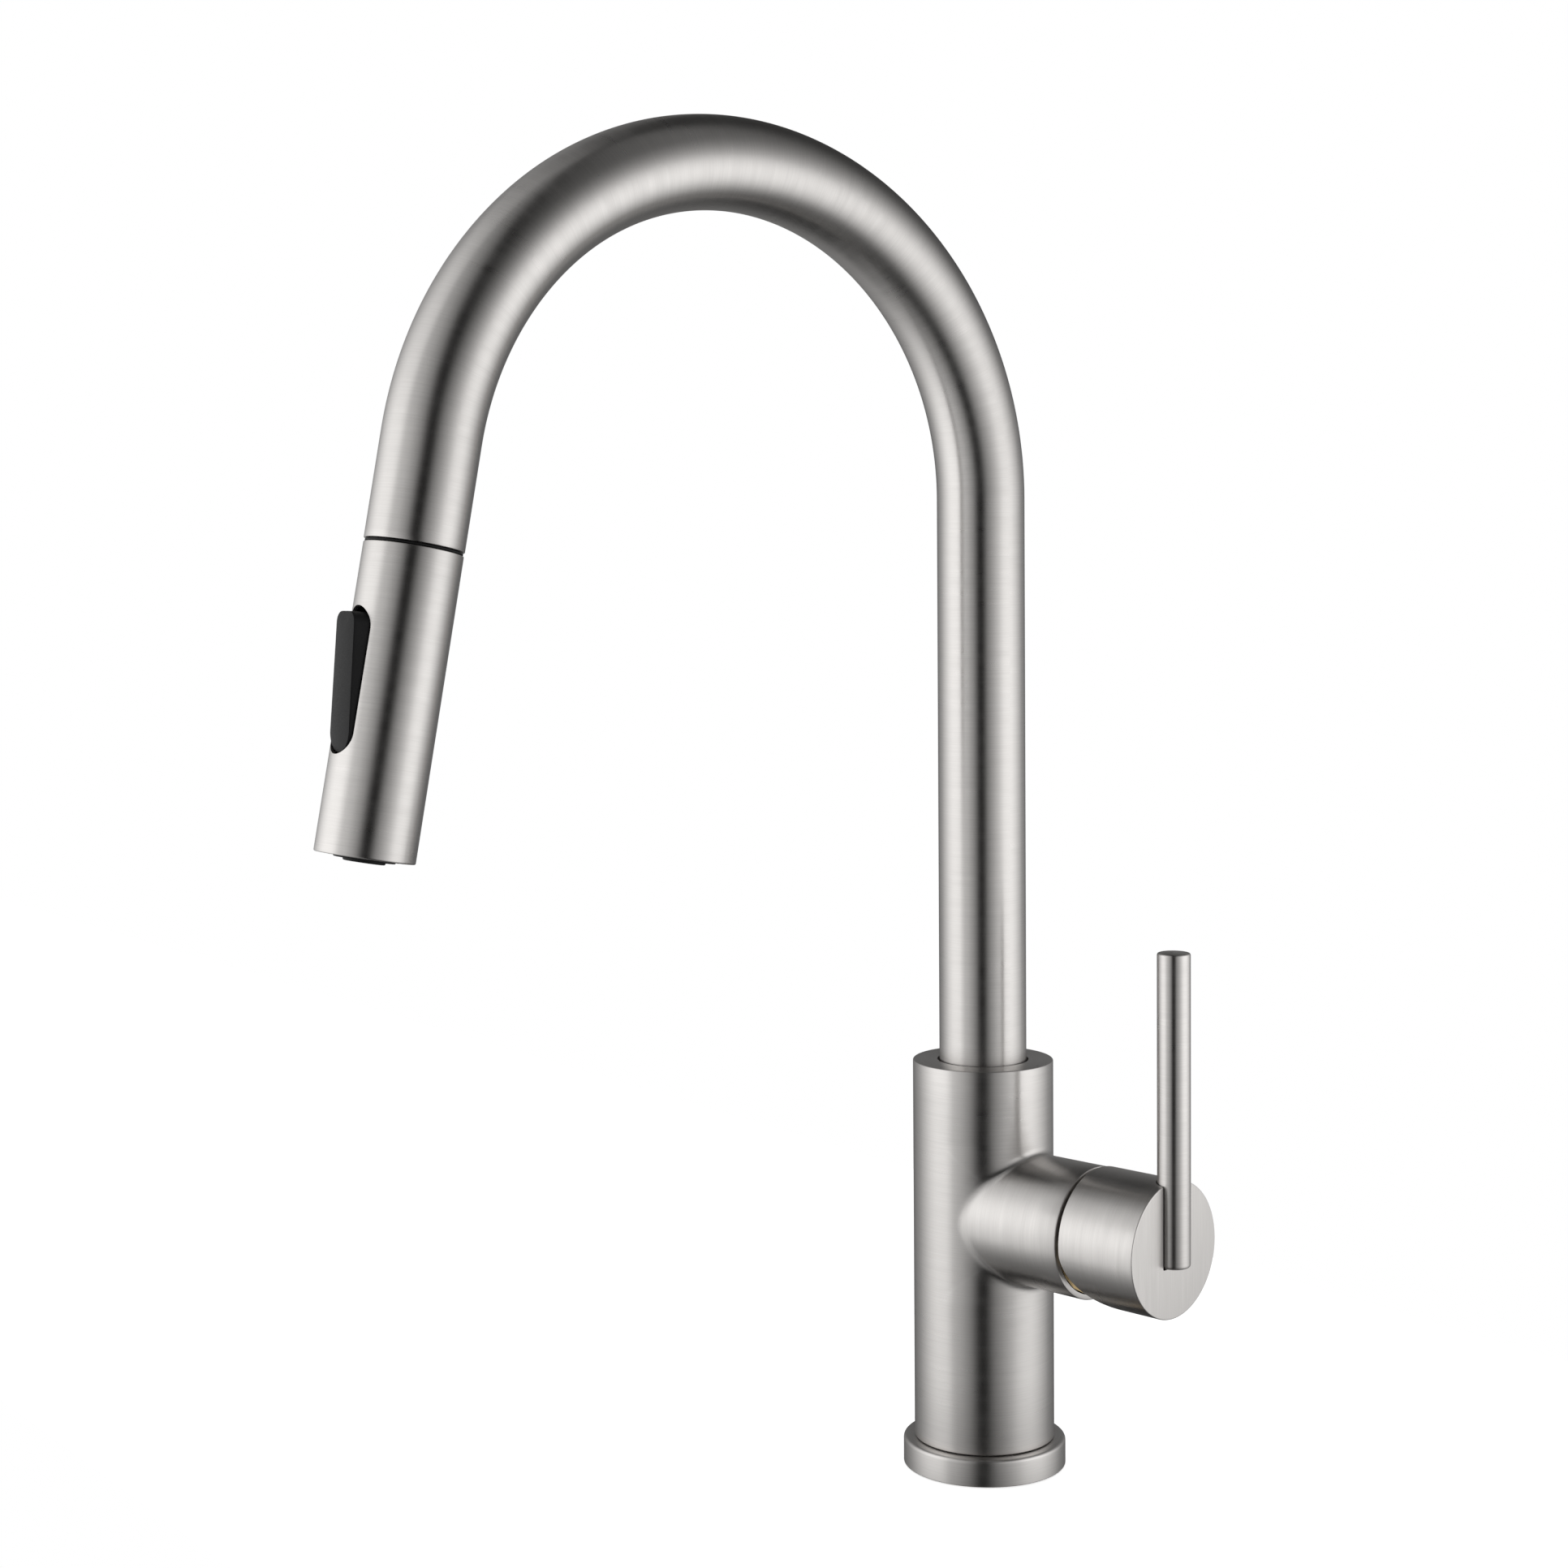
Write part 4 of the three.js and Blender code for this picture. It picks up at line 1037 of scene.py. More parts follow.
def make_softboxes(context):
    """A round wall through the camera's place, which only reflections see."""
    to_camera = context.scene.camera.matrix_world.translation - STUDIO_CENTRE
    radius = math.hypot(to_camera.x, to_camera.y)
    bm = bmesh.new()
    bmesh.ops.create_uvsphere(bm, u_segments=96, v_segments=48, radius=radius)
    bmesh.ops.translate(bm, verts=bm.verts, vec=STUDIO_CENTRE)
    mesh = bpy.data.meshes.new("Studio Softboxes")
    bm.to_mesh(mesh)
    bm.free()
    wall = bpy.data.objects.new("Studio Softboxes", mesh)
    context.scene.collection.objects.link(wall)
    paint = bpy.data.materials.new("Softbox Light")
    paint.use_nodes = True
    paint.cycles.emission_sampling = "NONE"
    tree = paint.node_tree
    tree.nodes.clear()
    place = tree.nodes.new("ShaderNodeMapping")
    place.vector_type = "POINT"
    turn = -math.atan2(to_camera.y, to_camera.x)
    place.inputs["Scale"].default_value = (1 / radius,) * 3
    place.inputs["Rotation"].default_value = (0, 0, turn)
    moved = Matrix.Rotation(turn, 3, "Z") @ STUDIO_CENTRE / radius
    place.inputs["Location"].default_value = -moved
    coordinates = tree.nodes.new("ShaderNodeTexCoord")
    tree.links.new(coordinates.outputs["Object"], place.inputs["Vector"])
    split = tree.nodes.new("ShaderNodeSeparateXYZ")
    tree.links.new(place.outputs[0], split.inputs[0])
    round_turn = math_node(tree, "ARCTAN2", split.outputs["Y"], split.outputs["X"])
    degrees = math_node(tree, "MULTIPLY", round_turn, 180 / math.pi)
    left = ramp(tree, split.outputs["Z"], LEFT_HEIGHTS, -1, 1, 1.0)
    right = ramp(tree, split.outputs["Z"], RIGHT_HEIGHTS, -1, 1, 1.0)
    side = tree.nodes.new("ShaderNodeMapRange")
    side.inputs["From Min"].default_value, side.inputs["From Max"].default_value = -15, 15
    tree.links.new(degrees, side.inputs["Value"])
    height = tree.nodes.new("ShaderNodeMix")
    tree.links.new(side.outputs["Result"], height.inputs[0])
    tree.links.new(left, height.inputs[2])
    tree.links.new(right, height.inputs[3])
    shine = math_node(tree, "MULTIPLY", ramp(tree, degrees, ROUND, -180, 180, 1.5),
                      height.outputs[0])
    emit, out = tree.nodes.new("ShaderNodeEmission"), tree.nodes.new("ShaderNodeOutputMaterial")
    tree.links.new(math_node(tree, "ADD", shine, 0.008), emit.inputs["Strength"])
    tree.links.new(emit.outputs[0], out.inputs["Surface"])
    mesh.materials.append(paint)
    for way in ("camera", "diffuse", "transmission", "shadow", "volume_scatter"):
        setattr(wall, f"visible_{way}", False)


def make_floor(context, tone):
    """A pale counter top, short enough that the drawn-out head hangs past its edge."""
    mesh = bpy.data.meshes.new("Studio Floor")
    half, depth, z = 8.0, 0.235, -0.0003
    corners = [(-half, -depth, z), (half, -depth, z), (half, depth, z), (-half, depth, z)]
    mesh.from_pydata(corners, [], [(0, 1, 2, 3)])
    floor = bpy.data.objects.new("Studio Floor", mesh)
    context.scene.collection.objects.link(floor)
    paper = bpy.data.materials.new("Studio Paper")
    paper.use_nodes = True
    shader = paper.node_tree.nodes["Principled BSDF"]
    shader.inputs["Base Color"].default_value = (*tone, 1)
    shader.inputs["Roughness"].default_value = 1.0
    shader.inputs["Specular IOR Level"].default_value = 0.0
    shader.inputs["Emission Color"].default_value = (1, 1, 1, 1)
    shader.inputs["Emission Strength"].default_value = 0.66
    mesh.materials.append(paper)
    floor.visible_glossy = False
    floor.visible_diffuse = False


class FAUCET_OT_base(Build):
    """Build the base ring that stands on the deck"""

    bl_idname = "faucet.base_ring"
    bl_label = "Base Ring"

    def execute(self, context):
        b = self.sizes(context, "body")
        bore = self.sizes(context, "deck").shank_r + 0.3
        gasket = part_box("base_gasket")[1]
        outer, high = gasket.x / MM + 0.3, gasket.z / MM + 0.3
        ring = turned("faucet_base_ring", [
            (bore, 0), (outer - 2, 0), (outer - 2, high), (outer, high), (outer, 0),
            (b.ring_r, 0, 0.3), (b.ring_r, b.ring_h, b.ring_edge), (bore, b.ring_h),
        ], sides=192)
        crisp(ring)
        brush_round(ring, WORLD, b.ring_r)
        finish_piece(ring, "base", "brushed_steel", "base_ring")
        return {"FINISHED"}


class FAUCET_OT_body(Build):
    """Build the upright body with its side branch"""

    bl_idname = "faucet.body"
    bl_label = "Body"

    def execute(self, context):
        b = self.sizes(context, "body")
        wall = body_wall(b, self.sizes(context, "handle").hub_r)
        bore = turned("bore", [
            (0, b.body_foot - 1), (20.4, b.body_foot - 1), (20.4, 102.4), (17.2, 102.4),
            (17.2, b.body_top - 3), (14.7, b.body_top - 3), (14.7, b.body_top + 1),
            (0, b.body_top + 1),
        ], sides=160)
        side = drill("side bore", b.branch_r - 1.7, 0, b.branch_end + 1, axes=HANDLE, sides=160)
        cut(wall, bore, side)
        crisp(wall)
        brush_round(wall, WORLD, b.body_r)

        def on_branch(p):
            """Whether a point in the handle's own axes lies on the branch."""
            at = HANDLE @ (p * MM) / MM
            outside = math.hypot(at.x, at.y) > b.body_r - 0.4
            return outside and p.z > 5 and math.hypot(p.x, p.y) < b.branch_r + 0.45

        brush_round(wall, HANDLE, b.branch_r, belongs=on_branch)
        finish_piece(wall, "base", "brushed_steel", "body_shell")
        return {"FINISHED"}


class FAUCET_OT_handle(Build):
    """Build the handle: round hub, lever rod and the plug of its fixing screw"""

    bl_idname = "faucet.handle"
    bl_label = "Handle"

    def execute(self, context):
        h = self.sizes(context, "handle")
        face = Matrix.Translation((0, 0, h.hub_end * MM))
        lever_axes = HANDLE @ face @ Matrix.Rotation(math.pi / 2, 4, "Y")
        hub = turned("faucet_handle_hub", [
            (0, h.hub_start), (h.hub_r, h.hub_start, h.hub_edge),
            (h.hub_r, h.hub_end, h.hub_edge), (0, h.hub_end),
        ], axes=HANDLE, sides=192, steps=9)
        heel_at = h.hub_start + h.hub_r
        low = -h.hub_r - 3
        relief = [(low, h.hub_start - 3), (0.5, h.hub_start - 3), (0.5, h.hub_start - 0.5)]
        relief += [(-h.hub_r * math.sin(a), heel_at - h.hub_r * math.cos(a))
                   for a in np.linspace(math.radians(1), math.radians(89), 60)]
        relief += [(-h.hub_r - 0.2, heel_at), (low, heel_at)]
        wide = h.hub_r + 2
        cut(hub, outline_prism("relief", relief, -wide, wide, HANDLE))
        cavity_end, screw_r, screw_up = 60, 2.1, 11.5
        cavity = drill("cavity", 18, h.hub_start - 1, cavity_end, axes=HANDLE, sides=96)
        stem = block("stem", (-4.3, -4.3, cavity_end - 1), (4.3, 4.3, 67.3), HANDLE)
        grub_axes = HANDLE @ Matrix.Translation((0, 0, 63.5 * MM))
        grub_axes = grub_axes @ Matrix.Rotation(math.pi / 2, 4, "Y")
        grub = drill("grub", 2.7, -h.hub_r - 1, 0, axes=grub_axes, sides=32)
        groove = turned("groove", [
            (0, -h.rod_foot - 0.3), (h.rod_r + 0.3, -h.rod_foot - 0.3, 0.6),
            (h.rod_r + 0.3, h.rod_top), (0, h.rod_top),
        ], axes=lever_axes, sides=128)
        screw = drill("screw", screw_r, cavity_end - 1, 73, axes=HANDLE, sides=24,
                      offset=(screw_up, 0, 0))
        cut(hub, cavity, stem, grub, groove, screw)
        crisp(hub, 11.5)
        brush_round(hub, HANDLE, h.hub_r, flat_lines=True)
        finish_piece(hub, "handle", "brushed_steel", "handle_hub")

        rod = turned("faucet_lever_rod", [
            (0, -h.rod_foot), (h.rod_r, -h.rod_foot, h.rod_edge * 1.5),
            (h.rod_r, h.rod_top, h.rod_edge), (0, h.rod_top),
        ], axes=lever_axes, sides=96)
        thread = drill("thread", screw_r, 69, 75, axes=HANDLE, sides=24, offset=(screw_up, 0, 0))
        cut(rod, thread)
        crisp(rod)
        brush_round(rod, lever_axes, h.rod_r)
        finish_piece(rod, "handle", "brushed_steel", "lever_rod")

        inner = -14.3
        cap = turned("faucet_grub_plug", [
            (0, -h.hub_r + 0.4), (2.4, -h.hub_r + 0.4, 0.5), (2.4, inner), (0, inner),
        ], axes=grub_axes, sides=32)
        crisp(cap)
        finish_piece(cap, "handle", "black_plastic", "grub_plug")
        return {"FINISHED"}


class FAUCET_OT_spout(Build):
    """Build the gooseneck tube and the dark collar at its end"""

    bl_idname = "faucet.spout"
    bl_label = "Spout"

    def execute(self, context):
        s = self.sizes(context, "spout")
        route = spout_route(s)
        ahead = (route[-1] - route[-2]).normalized()
        route[-1] = route[-1] - ahead * 0.5 * MM
        steel = STUDIO.finishes["brushed_steel"]
        spout = tube("faucet_spout_tube", route, s.tube_r * MM, steel, s.sides, ends=False)
        wall = spout.modifiers.new("Wall", "SOLIDIFY")
        wall.thickness, wall.offset, wall.use_rim = s.wall * MM, -1, True
        edge = spout.modifiers.new("Edge", "BEVEL")
        edge.width, edge.segments, edge.limit_method = 0.25 * MM, 2, "ANGLE"
        edge.angle_limit = math.radians(50)
        settle(spout)
        crisp(spout)
        finish_piece(spout, "spout", "brushed_steel", "spout_tube")

        collar = turned("faucet_dock_collar", [
            (9, -0.3), (9.8, -0.3), (9.8, 5.6), (11.6, 5.6), (11.6, -0.3), (13.6, -0.3, 0.1),
            (13.6, 0.2, 0.1), (12.5, 0.2), (12.5, 22), (10.5, 22), (9, 18, 1.5),
        ], axes=OUTLET, sides=128)
        crisp(collar)
        finish_piece(collar, "spout", "black_plastic", "dock_collar")
        return {"FINISHED"}


def slot_outline(half_width, low, high, steps=32):
    """An upright slot with round ends, as (x, z) points."""
    points = []
    for centre, start in ((high - half_width, 0), (low + half_width, math.pi)):
        for a in np.linspace(start, start + math.pi, steps + 1):
            points.append((half_width * math.cos(a), centre + half_width * math.sin(a)))
    return points


class FAUCET_OT_head(Build):
    """Build the spray head's shell and the neck that docks into the spout"""

    bl_idname = "faucet.head"
    bl_label = "Spray Head"

    def execute(self, context):
        d = self.sizes(context, "head")
        top = -0.5
        shell = turned("faucet_head_shell", [
            (d.top_r - d.wall, top), (d.top_r, top, 0.3), (d.foot_r, -d.head_l, 0.55),
            (d.foot_r - d.wall, -d.head_l, 0.3),
        ], axes=OUTLET, sides=256)
        outline = slot_outline(d.slot_w, -d.slot_top - d.slot_l, -d.slot_top)
        slot = outline_prism("slot", outline, 6, 18, OUTLET)
        cut(shell, slot)
        crisp(shell)
        brush_round(shell, OUTLET, d.foot_r)
        finish_piece(shell, "spray_head", "brushed_steel", "head_shell")

        rim = d.top_r - d.wall - 0.3
        neck = turned("faucet_head_neck", [
            (2.5, -23), (rim, -23), (rim, -3, 0.3), (8.7, -3), (8.7, 6, 0.6), (7.6, 8, 0.4),
            (6.6, 8), (6.6, -21), (2.5, -21),
        ], axes=OUTLET, sides=96)
        cut(neck, block("room", (-7, -15, -24), (7, -5.3, -d.slot_top + 0.3), OUTLET))
        crisp(neck)
        finish_piece(neck, "spray_head", "black_plastic", "head_neck")
        keeper = turned("faucet_keeper_ring", [
            (9.1, -2.7), (12, -2.7, 0.2), (12, -0.7, 0.3), (9.1, -0.7, 0.2),
        ], axes=OUTLET, sides=96)
        crisp(keeper)
        finish_piece(keeper, "spray_head", "zinc_plate", "keeper_ring")
        return {"FINISHED"}


class FAUCET_OT_rocker(Build):
    """Build the rocker switch that changes the spray"""

    bl_idname = "faucet.rocker"
    bl_label = "Rocker Switch"

    def execute(self, context):
        d = self.sizes(context, "head")
        half = d.slot_w - 0.6
        foot, crown = -d.slot_top - d.slot_l + 0.6, -d.slot_top - 1.8
        pin_z = -d.slot_top - d.slot_l / 2

        def face(z):
            t = (z - foot) / (crown - foot)
            return d.toe + (d.crown - d.toe) * min(max(t, 0), 1)

        def soft_low(a, b, k):
            """The lower of two heights, with a soft change over k between them."""
            h = min(max(0.5 + 0.5 * (b - a) / k, 0), 1)
            return b * (1 - h) + a * h - k * h * (1 - h)

        def ring(inset, height):
            """One level of the rocker: round at its foot, nearly square at its crown."""
            w = max(half - inset, 0.02)
            low, soft = foot + half, max(min(3.5 - inset, w), 0.02)
            high = crown - inset - soft
            points = []
            for a in np.linspace(0, math.pi, 25):
                side = math.copysign(w - soft, math.cos(a)) if abs(math.cos(a)) > 1e-9 else 0
                points.append((side + soft * math.cos(a), high + soft * math.sin(a)))
            points += [(-w, z) for z in np.linspace(high, low, 20)[1:-1]]
            for a in np.linspace(math.pi, 2 * math.pi, 25):
                points.append((w * math.cos(a), low + w * math.sin(a)))
            points += [(w, z) for z in np.linspace(low, high, 20)[1:-1]]
            return [(x, -height(z), z) for x, z in points]

        def top_at(inset):
            flank = 13.2 + (inset + 0.02) * 9.0
            hollow = 0.5 * ((half - inset) / half) ** 2
            return lambda z: soft_low(face(z) - hollow, flank, 1.2)

        rings = [ring(0.6, lambda z: 8.9 + 0.1 * abs(z - pin_z))]
        rings.append(ring(0, lambda z: 9.3 + 0.1 * abs(z - pin_z)))
        rings.append(ring(0, lambda z: min(11.8, face(z) - 0.5)))
        insets = [*np.linspace(0.02, 1.0, 18), 1.6, 2.6, 3.6, 4.6, half - 0.05]
        rings += [ring(inset, top_at(inset)) for inset in insets]
        n = len(rings[0])
        points = [OUTLET @ (Vector(p) * MM) for row in rings for p in row]
        faces = []
        for i in range(len(rings) - 1):
            for k in range(n):
                m = (k + 1) % n
                faces.append((i * n + k, i * n + m, (i + 1) * n + m, (i + 1) * n + k))
        faces += [range(n - 1, -1, -1), range((len(rings) - 1) * n, len(rings) * n)]
        rocker = new_piece("faucet_rocker", points, faces)
        post = block("post", (-2, -11.6, pin_z - 3), (2, 0, pin_z + 3), OUTLET)
        pin_axes = OUTLET @ Matrix.Translation(Vector((0, -9.2, pin_z)) * MM)
        pin_axes = pin_axes @ Matrix.Rotation(math.pi / 2, 4, "Y")
        pin = drill("pin", 1.2, -5, 5, axes=pin_axes, sides=24)
        cut(rocker, post, pin)
        crisp(rocker, 38)
        finish_piece(rocker, "rocker", "black_plastic", "rocker_button")
        return {"FINISHED"}


class FAUCET_OT_outlet(Build):
    """Build the outlet: nozzle ring, spray face and aerator"""

    bl_idname = "faucet.outlet"
    bl_label = "Outlet"

    def execute(self, context):
        d = self.sizes(context, "head")
        face = -81.3
        rim = d.foot_r - d.wall - 0.3
        rubber = STUDIO.finishes["rubber"]
        ring = turned("faucet_nozzle_ring", [
            (8.9, face), (rim, face), (rim, -85.6, 0.4), (8.9, -85.6, 0.3),
        ], axes=OUTLET, sides=96)
        roots = OUTLET @ Matrix.Translation((0, 0, -85.4 * MM))
        for row_r, number in ((9.9, d.nozzles * 4 // 5), (11.5, d.nozzles)):
            row = grow("nozzles", STUDIO.trees["nozzles"], [(0, 0, 0)], [], Count=number,
                       Row_Radius=row_r * MM, Root=0.62 * MM, Tip=0.34 * MM, Height=1.0 * MM,
                       Finish=rubber)
            row.data.transform(roots @ Matrix.Rotation(math.pi, 4, "X"))
            join(ring, row)
        crisp(ring)
        finish_piece(ring, "spray_head", "rubber", "nozzle_ring")

        plate = turned("faucet_spray_face", [
            (6.4, face), (8.6, face), (8.6, -d.head_l - 0.6, 0.35), (6.4, -d.head_l - 0.6, 0.25),
        ], axes=OUTLET, sides=96)
        crisp(plate)
        finish_piece(plate, "spray_head", "black_plastic", "spray_face")

        tip = -d.head_l - 1.3
        aerator = turned("faucet_aerator", [
            (0, tip + 1.6), (3.9, tip + 1.6), (4.5, tip, 0.2), (5.9, tip, 0.5), (5.9, -74.3),
            (0, -74.3),
        ], axes=OUTLET, sides=96)
        cells, pitch, half_cell = [], 1.6, 0.55
        across = np.arange(-2, 3) * pitch
        for x in across:
            for y in across:
                if math.hypot(x, y) < 3.5:
                    low = (x - half_cell, y - half_cell, tip - 1)
                    high = (x + half_cell, y + half_cell, tip + 3.2)
                    cells.append(block("cell", low, high, OUTLET))
        for extra in cells[1:]:
            join(cells[0], extra)
        cut(aerator, cells[0])
        crisp(aerator)
        finish_piece(aerator, "spray_head", "black_plastic", "aerator")
        return {"FINISHED"}


HOSE_ASIDE = 8.2 * MM  # how far behind the body's axis the lower run hangs
HOSE_EASE_FROM, HOSE_EASE_RISE = 74 * MM, 40 * MM  # where the run eases over to that axis
HOSE_SPLIT = 118 * MM  # height where the hose passes from the body into the spout
HOSE_SIDES = 32


def ease(t):
    """A share that starts and ends gently, as a blend between two bodies does."""
    return t * t * (3 - 2 * t)


class FAUCET_OT_hose(Build):
    """Build the braided hose inside the faucet and its metal ends"""

    bl_idname = "faucet.hose"
    bl_label = "Hose"

    def execute(self, context):
        deck, s = self.sizes(context, "deck"), self.sizes(context, "spout")
        braid = STUDIO.finishes["braid"]
        radius = deck.hose_r * MM
        start = -Vector(JOINTS["handle_mix"]["axis"]) * HOSE_ASIDE
        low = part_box("hose_lower")[0].z
        lower = [start + Vector((0, 0, z)) for z in np.linspace(low, HOSE_EASE_FROM, 60)]
        for t in np.linspace(0, 1, 24)[1:]:
            rise = Vector((0, 0, HOSE_EASE_FROM + HOSE_EASE_RISE * t))
            lower.append(start * (1 - ease(t)) + rise)
        lower.append(Vector((0, 0, HOSE_SPLIT - 0.3 * MM)))
        piece = tube("faucet_hose_lower", lower, radius, braid, HOSE_SIDES)
        finish_piece(piece, "base", "braid", "hose_lower")

        up = OUTLET.to_3x3() @ Vector((0, 0, 1))
        leg_top, leg_foot = 29.3 * MM, 9.6 * MM
        seam = OUTLET.translation
        end = seam + up * (leg_top + 0.9 * MM)
        clear = HOSE_SPLIT + 2 * MM
        route = [p for p in spout_route(s)
                 if p.z > clear and ((p - end).dot(up) > 0 or p.y > -s.bend_1 * MM)]
        upper = [Vector((0, 0, HOSE_SPLIT)), *route, end]
        piece = tube("faucet_hose_upper", upper, radius, braid, HOSE_SIDES)
        finish_piece(piece, "spout", "braid", "hose_upper")

        # The leg's rings and map are set out for the hose at its full pull.
        evenly = np.linspace(0, 1, 61)
        shares = 0.5 - np.sin(np.arcsin(1 - 2 * evenly) / 3)  # where ease() gives those
        short = leg_top - leg_foot
        leg = [seam + up * (leg_top - short * share) for share in shares]
        piece = tube("faucet_hose_leg", leg, radius, braid, HOSE_SIDES)
        brush = piece.data.uv_layers[BRUSH].data
        pull = JOINTS["head_pull"]["range_m"][1]
        for loop in piece.data.loops:
            share = (leg[0] - piece.data.vertices[loop.vertex_index].co).dot(up) / short
            share = min(max(share, 0), 1)
            brush[loop.index].uv.x = (share * short + ease(share) * pull) / MM
        paint(piece, "braid")
        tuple(leg[0])
        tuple(leg[-1])
        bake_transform(piece)
        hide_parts("hose_leg")

        ferrule = turned("faucet_hose_ferrule", [
            (2.9, -4), (5.9, -4, 0.3), (5.9, 1), (5.6, 1.4), (5.6, 2), (5.9, 2.4), (5.9, 6),
            (5.6, 6.4), (5.6, 7), (5.9, 7.4), (5.9, 9.3, 0.3), (2.9, 9.3),
        ], axes=OUTLET, sides=64)
        crisp(ferrule)
        brush_round(ferrule, OUTLET, 5.9)
        finish_piece(ferrule, "hose_end", "brushed_steel", "hose_ferrule")
        top = low / MM
        connector = turned("faucet_hose_connector", [
            (2.7, top - 18), (4.2, top - 18, 0.4), (4.2, top - 13), (3.8, top - 12.6),
            (3.8, top - 11.6), (4.2, top - 11.2), (4.2, top - 9), (6.6, top - 9, 0.6),
            (6.6, top - 0.3, 0.6), (2.7, top - 0.3),
        ], sides=64, offset=start / MM)
        crisp(connector)
        finish_piece(connector, "base", "brass", "hose_connector")
        return {"FINISHED"}


SCREW_AT = 22.2  # clamp screws, either side of the shank's axis


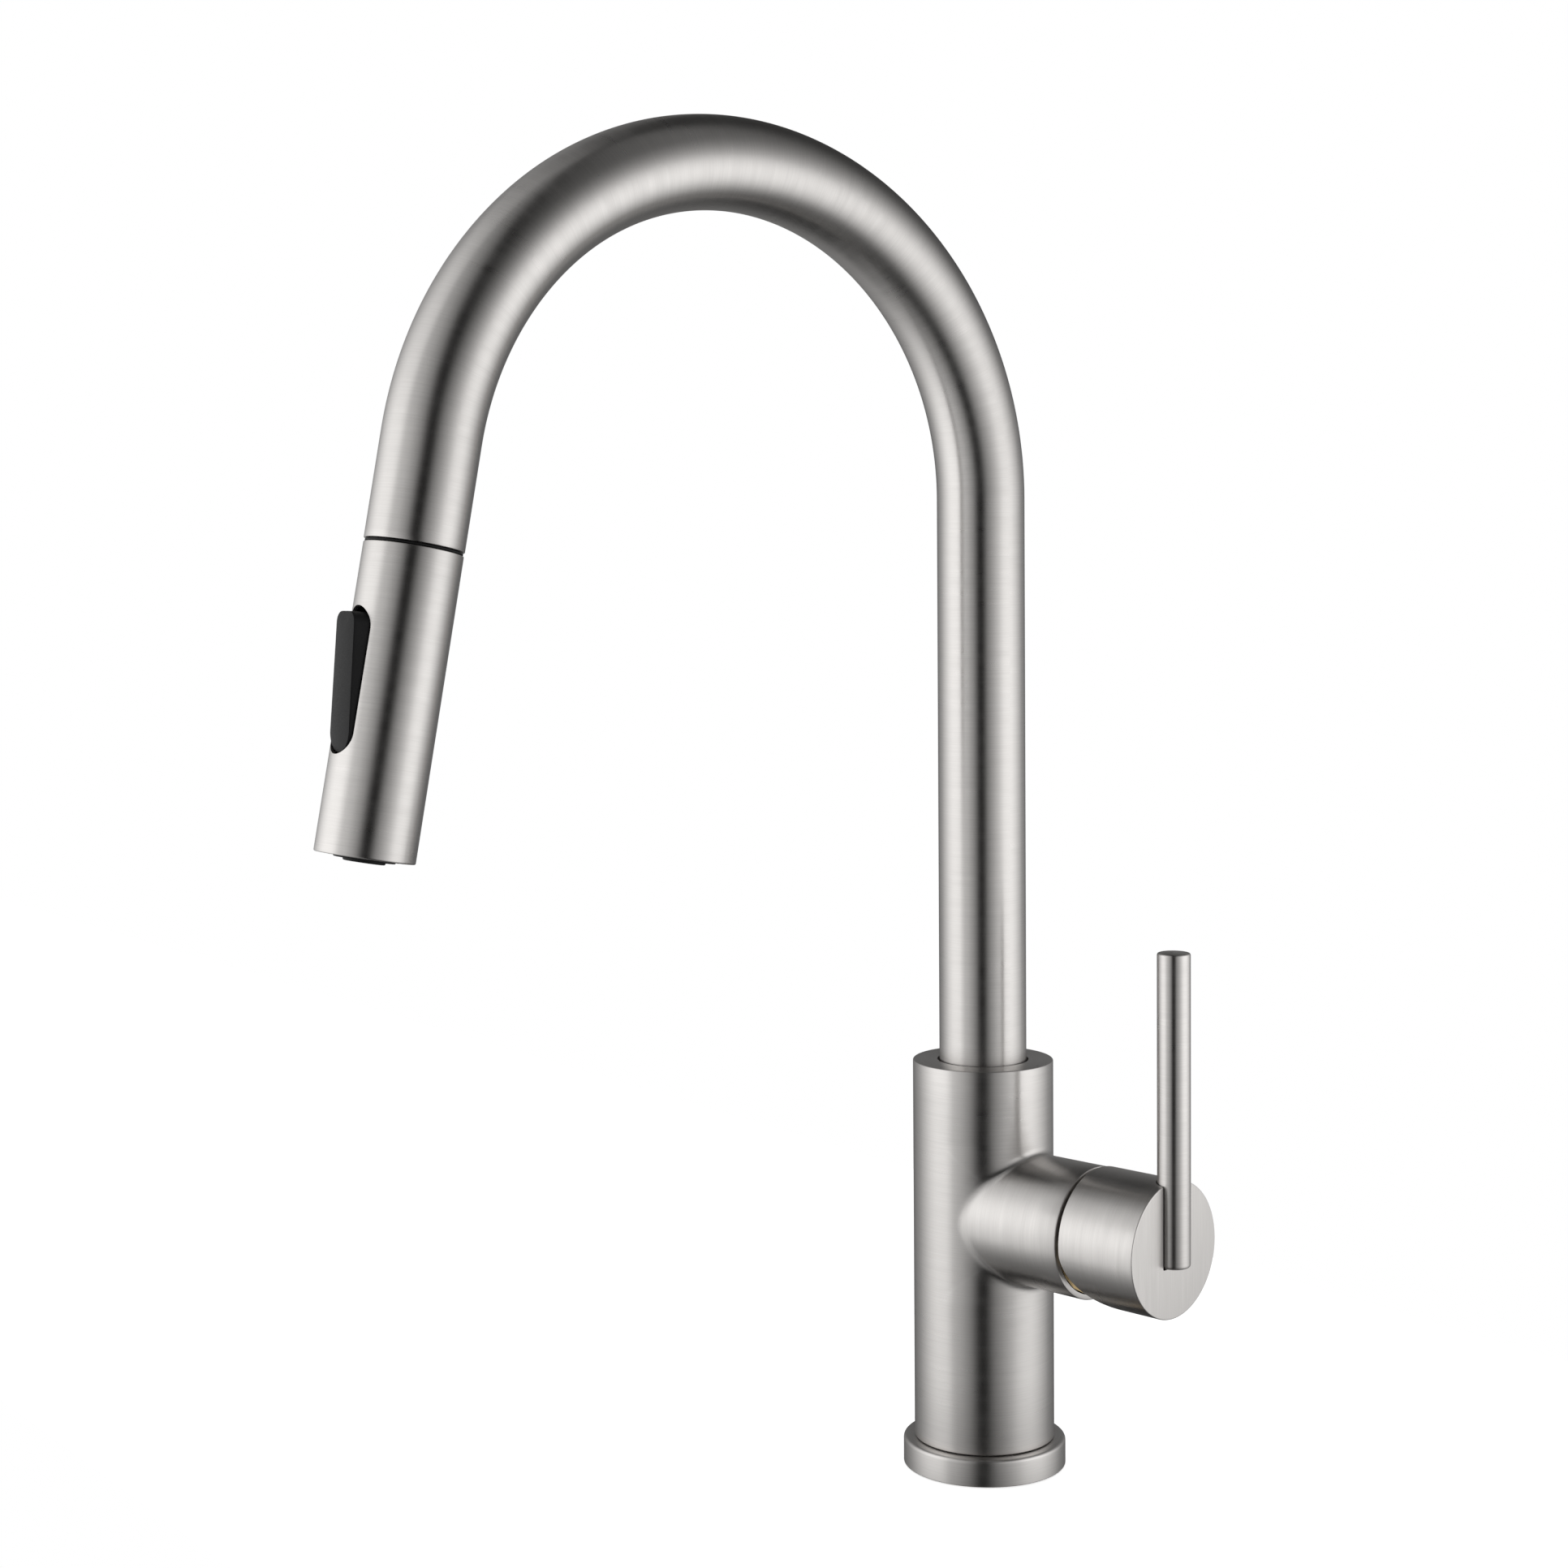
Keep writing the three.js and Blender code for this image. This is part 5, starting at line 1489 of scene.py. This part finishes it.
class FAUCET_OT_deck(Build):
    """Build the hardware below the deck: shank, washers, nut, screws and pipes"""

    bl_idname = "faucet.deck_hardware"
    bl_label = "Deck Hardware"

    def execute(self, context):
        d = self.sizes(context, "deck")
        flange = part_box("threaded_shank")[1].z / MM - 6
        ridge = 0.5
        core = d.shank_r - ridge
        shank = turned("faucet_threaded_shank", [
            (14.3, -d.shank_end), (core - 1, -d.shank_end), (core, -d.shank_end + 1), (core, -0.5),
            (d.shank_r, 0), (d.shank_r, flange), (20.1, flange), (20.1, flange + 6),
            (14.3, flange + 6),
        ], sides=128)
        crisp(shank)
        finish_piece(shank, "base", "brass", "threaded_shank")
        turns = (d.shank_end - 3) / d.pitch
        thread = grow("faucet_shank_thread", STUDIO.trees["thread"], [(0, 0, 0)], [],
                      Radius=core * MM, Pitch=d.pitch * MM, Turns=turns, Ridge=ridge * MM,
                      Start=(-d.shank_end + 1.5) * MM, Finish=STUDIO.finishes["brass"])
        face_out(thread.data)
        crisp(thread)
        finish_piece(thread, "base", "brass")

        for name, slot in (("rubber_washer", "rubber"), ("steel_washer", "zinc_plate")):
            low, high = (corner.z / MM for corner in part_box(name))
            washer = turned(f"faucet_{name}", [
                (17, low), (d.washer_r, low, 0.3), (d.washer_r, high, 0.3), (17, high),
            ], sides=128)
            crisp(washer)
            finish_piece(washer, "base", slot, name)

        low, high = (corner.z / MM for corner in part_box("mounting_nut"))
        nut = drill("faucet_mounting_nut", 27, low, high, sides=6)
        chamfer = turned("chamfer", [
            (0, low - 0.1), (24.4, low - 0.1), (27.7, low + 1.9), (27.7, high - 1.9),
            (24.4, high + 0.1), (0, high + 0.1),
        ], sides=126)
        cut(nut, chamfer, operation="INTERSECT")
        holes = [drill("hole", r, low - 1, high + 1, sides=64, offset=(x, 0, 0))
                 for r, x in ((d.shank_r + 0.3, 0), (2.5, -SCREW_AT), (2.5, SCREW_AT))]
        cut(nut, *holes)
        crisp(nut)
        finish_piece(nut, "base", "brass", "mounting_nut")

        for name, side in (("clamp_screw_left", -1), ("clamp_screw_right", 1)):
            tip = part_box(name)[1].z / MM
            screw = turned(f"faucet_{name}", [
                (0, tip - 20), (3.4, tip - 20, 0.3), (4, tip - 19.4, 0.3), (4, tip - 16, 0.3),
                (1.9, tip - 16), (1.9, tip - 0.5), (1.4, tip), (0, tip),
            ], sides=48, offset=(side * SCREW_AT, 0, 0))
            middle = side * SCREW_AT
            slot = block("slot", (middle - 5, -0.6, tip - 21), (middle + 5, 0.6, tip - 18.5))
            cut(screw, slot)
            ridge = grow("thread", STUDIO.trees["thread"], [(0, 0, 0)], [], Radius=1.9 * MM,
                         Pitch=0.8 * MM, Turns=18.0, Ridge=0.28 * MM, Start=(tip - 15.4) * MM,
                         Finish=STUDIO.finishes["zinc_plate"])
            ridge.data.transform(Matrix.Translation((middle * MM, 0, 0)))
            join(screw, ridge)
            face_out(screw.data)
            crisp(screw)
            finish_piece(screw, "base", "zinc_plate", name)

        copper = STUDIO.finishes["copper"]
        for name in ("hot", "cold", "outlet"):
            low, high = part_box(f"{name}_pipe")
            centre = (low + high) / 2
            route = [Vector((centre.x, centre.y, z)) for z in np.linspace(low.z, high.z, 12)]
            pipe = tube(f"faucet_{name}_pipe", route, 4 * MM, copper, 48, ends=False)
            wall = pipe.modifiers.new("Wall", "SOLIDIFY")
            wall.thickness, wall.offset, wall.use_rim = 1.1 * MM, -1, True
            settle(pipe)
            crisp(pipe)
            finish_piece(pipe, "base", "copper", f"{name}_pipe")
            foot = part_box(f"{name}_fitting")[0].z / MM
            fitting = turned(f"faucet_{name}_fitting", [
                (2.9, foot), (5, foot, 0.4), (5, foot + 4), (4.6, foot + 4.4), (4.6, foot + 5.4),
                (5, foot + 5.8), (5, foot + 9), (5.6, foot + 9, 0.2), (5.6, foot + 14, 0.5),
                (4.3, foot + 14), (4.3, foot + 9.7), (2.9, foot + 9.7),
            ], sides=64, offset=centre / MM * Vector((1, 1, 0)))
            crisp(fitting)
            finish_piece(fitting, "base", "brass", f"{name}_fitting")
        return {"FINISHED"}


class FAUCET_OT_inner(Build):
    """Give the carried-over inner parts their finishes"""

    bl_idname = "faucet.inner_parts"
    bl_label = "Inner Parts"

    def execute(self, context):
        for node in frame["nodes"].values():
            for place in node.material_slots:
                slot = place.material.name.split(".")[0]
                inner = "zinc_plate" if slot == "brushed_steel" else slot
                place.material = STUDIO.finishes[inner]
        return {"FINISHED"}


# ---- panel and registration ----------------------------------------------------------

OPERATORS = [
    FAUCET_OT_stage, FAUCET_OT_base, FAUCET_OT_body, FAUCET_OT_handle, FAUCET_OT_spout,
    FAUCET_OT_head, FAUCET_OT_rocker, FAUCET_OT_outlet, FAUCET_OT_hose, FAUCET_OT_deck,
    FAUCET_OT_inner,
]


class FAUCET_PT_panel(bpy.types.Panel):
    bl_idname = "FAUCET_PT_panel"
    bl_label = "Faucet"
    bl_space_type = "VIEW_3D"
    bl_region_type = "UI"
    bl_category = "Faucet"

    def draw(self, context):
        for name in SIZES:
            box = self.layout.box()
            group = getattr(context.scene, name)
            for key in group.__annotations__:
                box.prop(group, key)
        for operator in OPERATORS:
            self.layout.operator(operator.bl_idname)


CLASSES = [*SIZES.values(), *OPERATORS, FAUCET_PT_panel]


def register():
    for cls in CLASSES:
        bpy.utils.register_class(cls)
    for name, cls in SIZES.items():
        setattr(bpy.types.Scene, name, PointerProperty(type=cls))


def unregister():
    for name in SIZES:
        delattr(bpy.types.Scene, name)
    for cls in reversed(CLASSES):
        bpy.utils.unregister_class(cls)


def main():
    register()
    for operator in OPERATORS:
        area, name = operator.bl_idname.split(".")
        getattr(getattr(bpy.ops, area), name)()


if __name__ == "__main__":
    main()
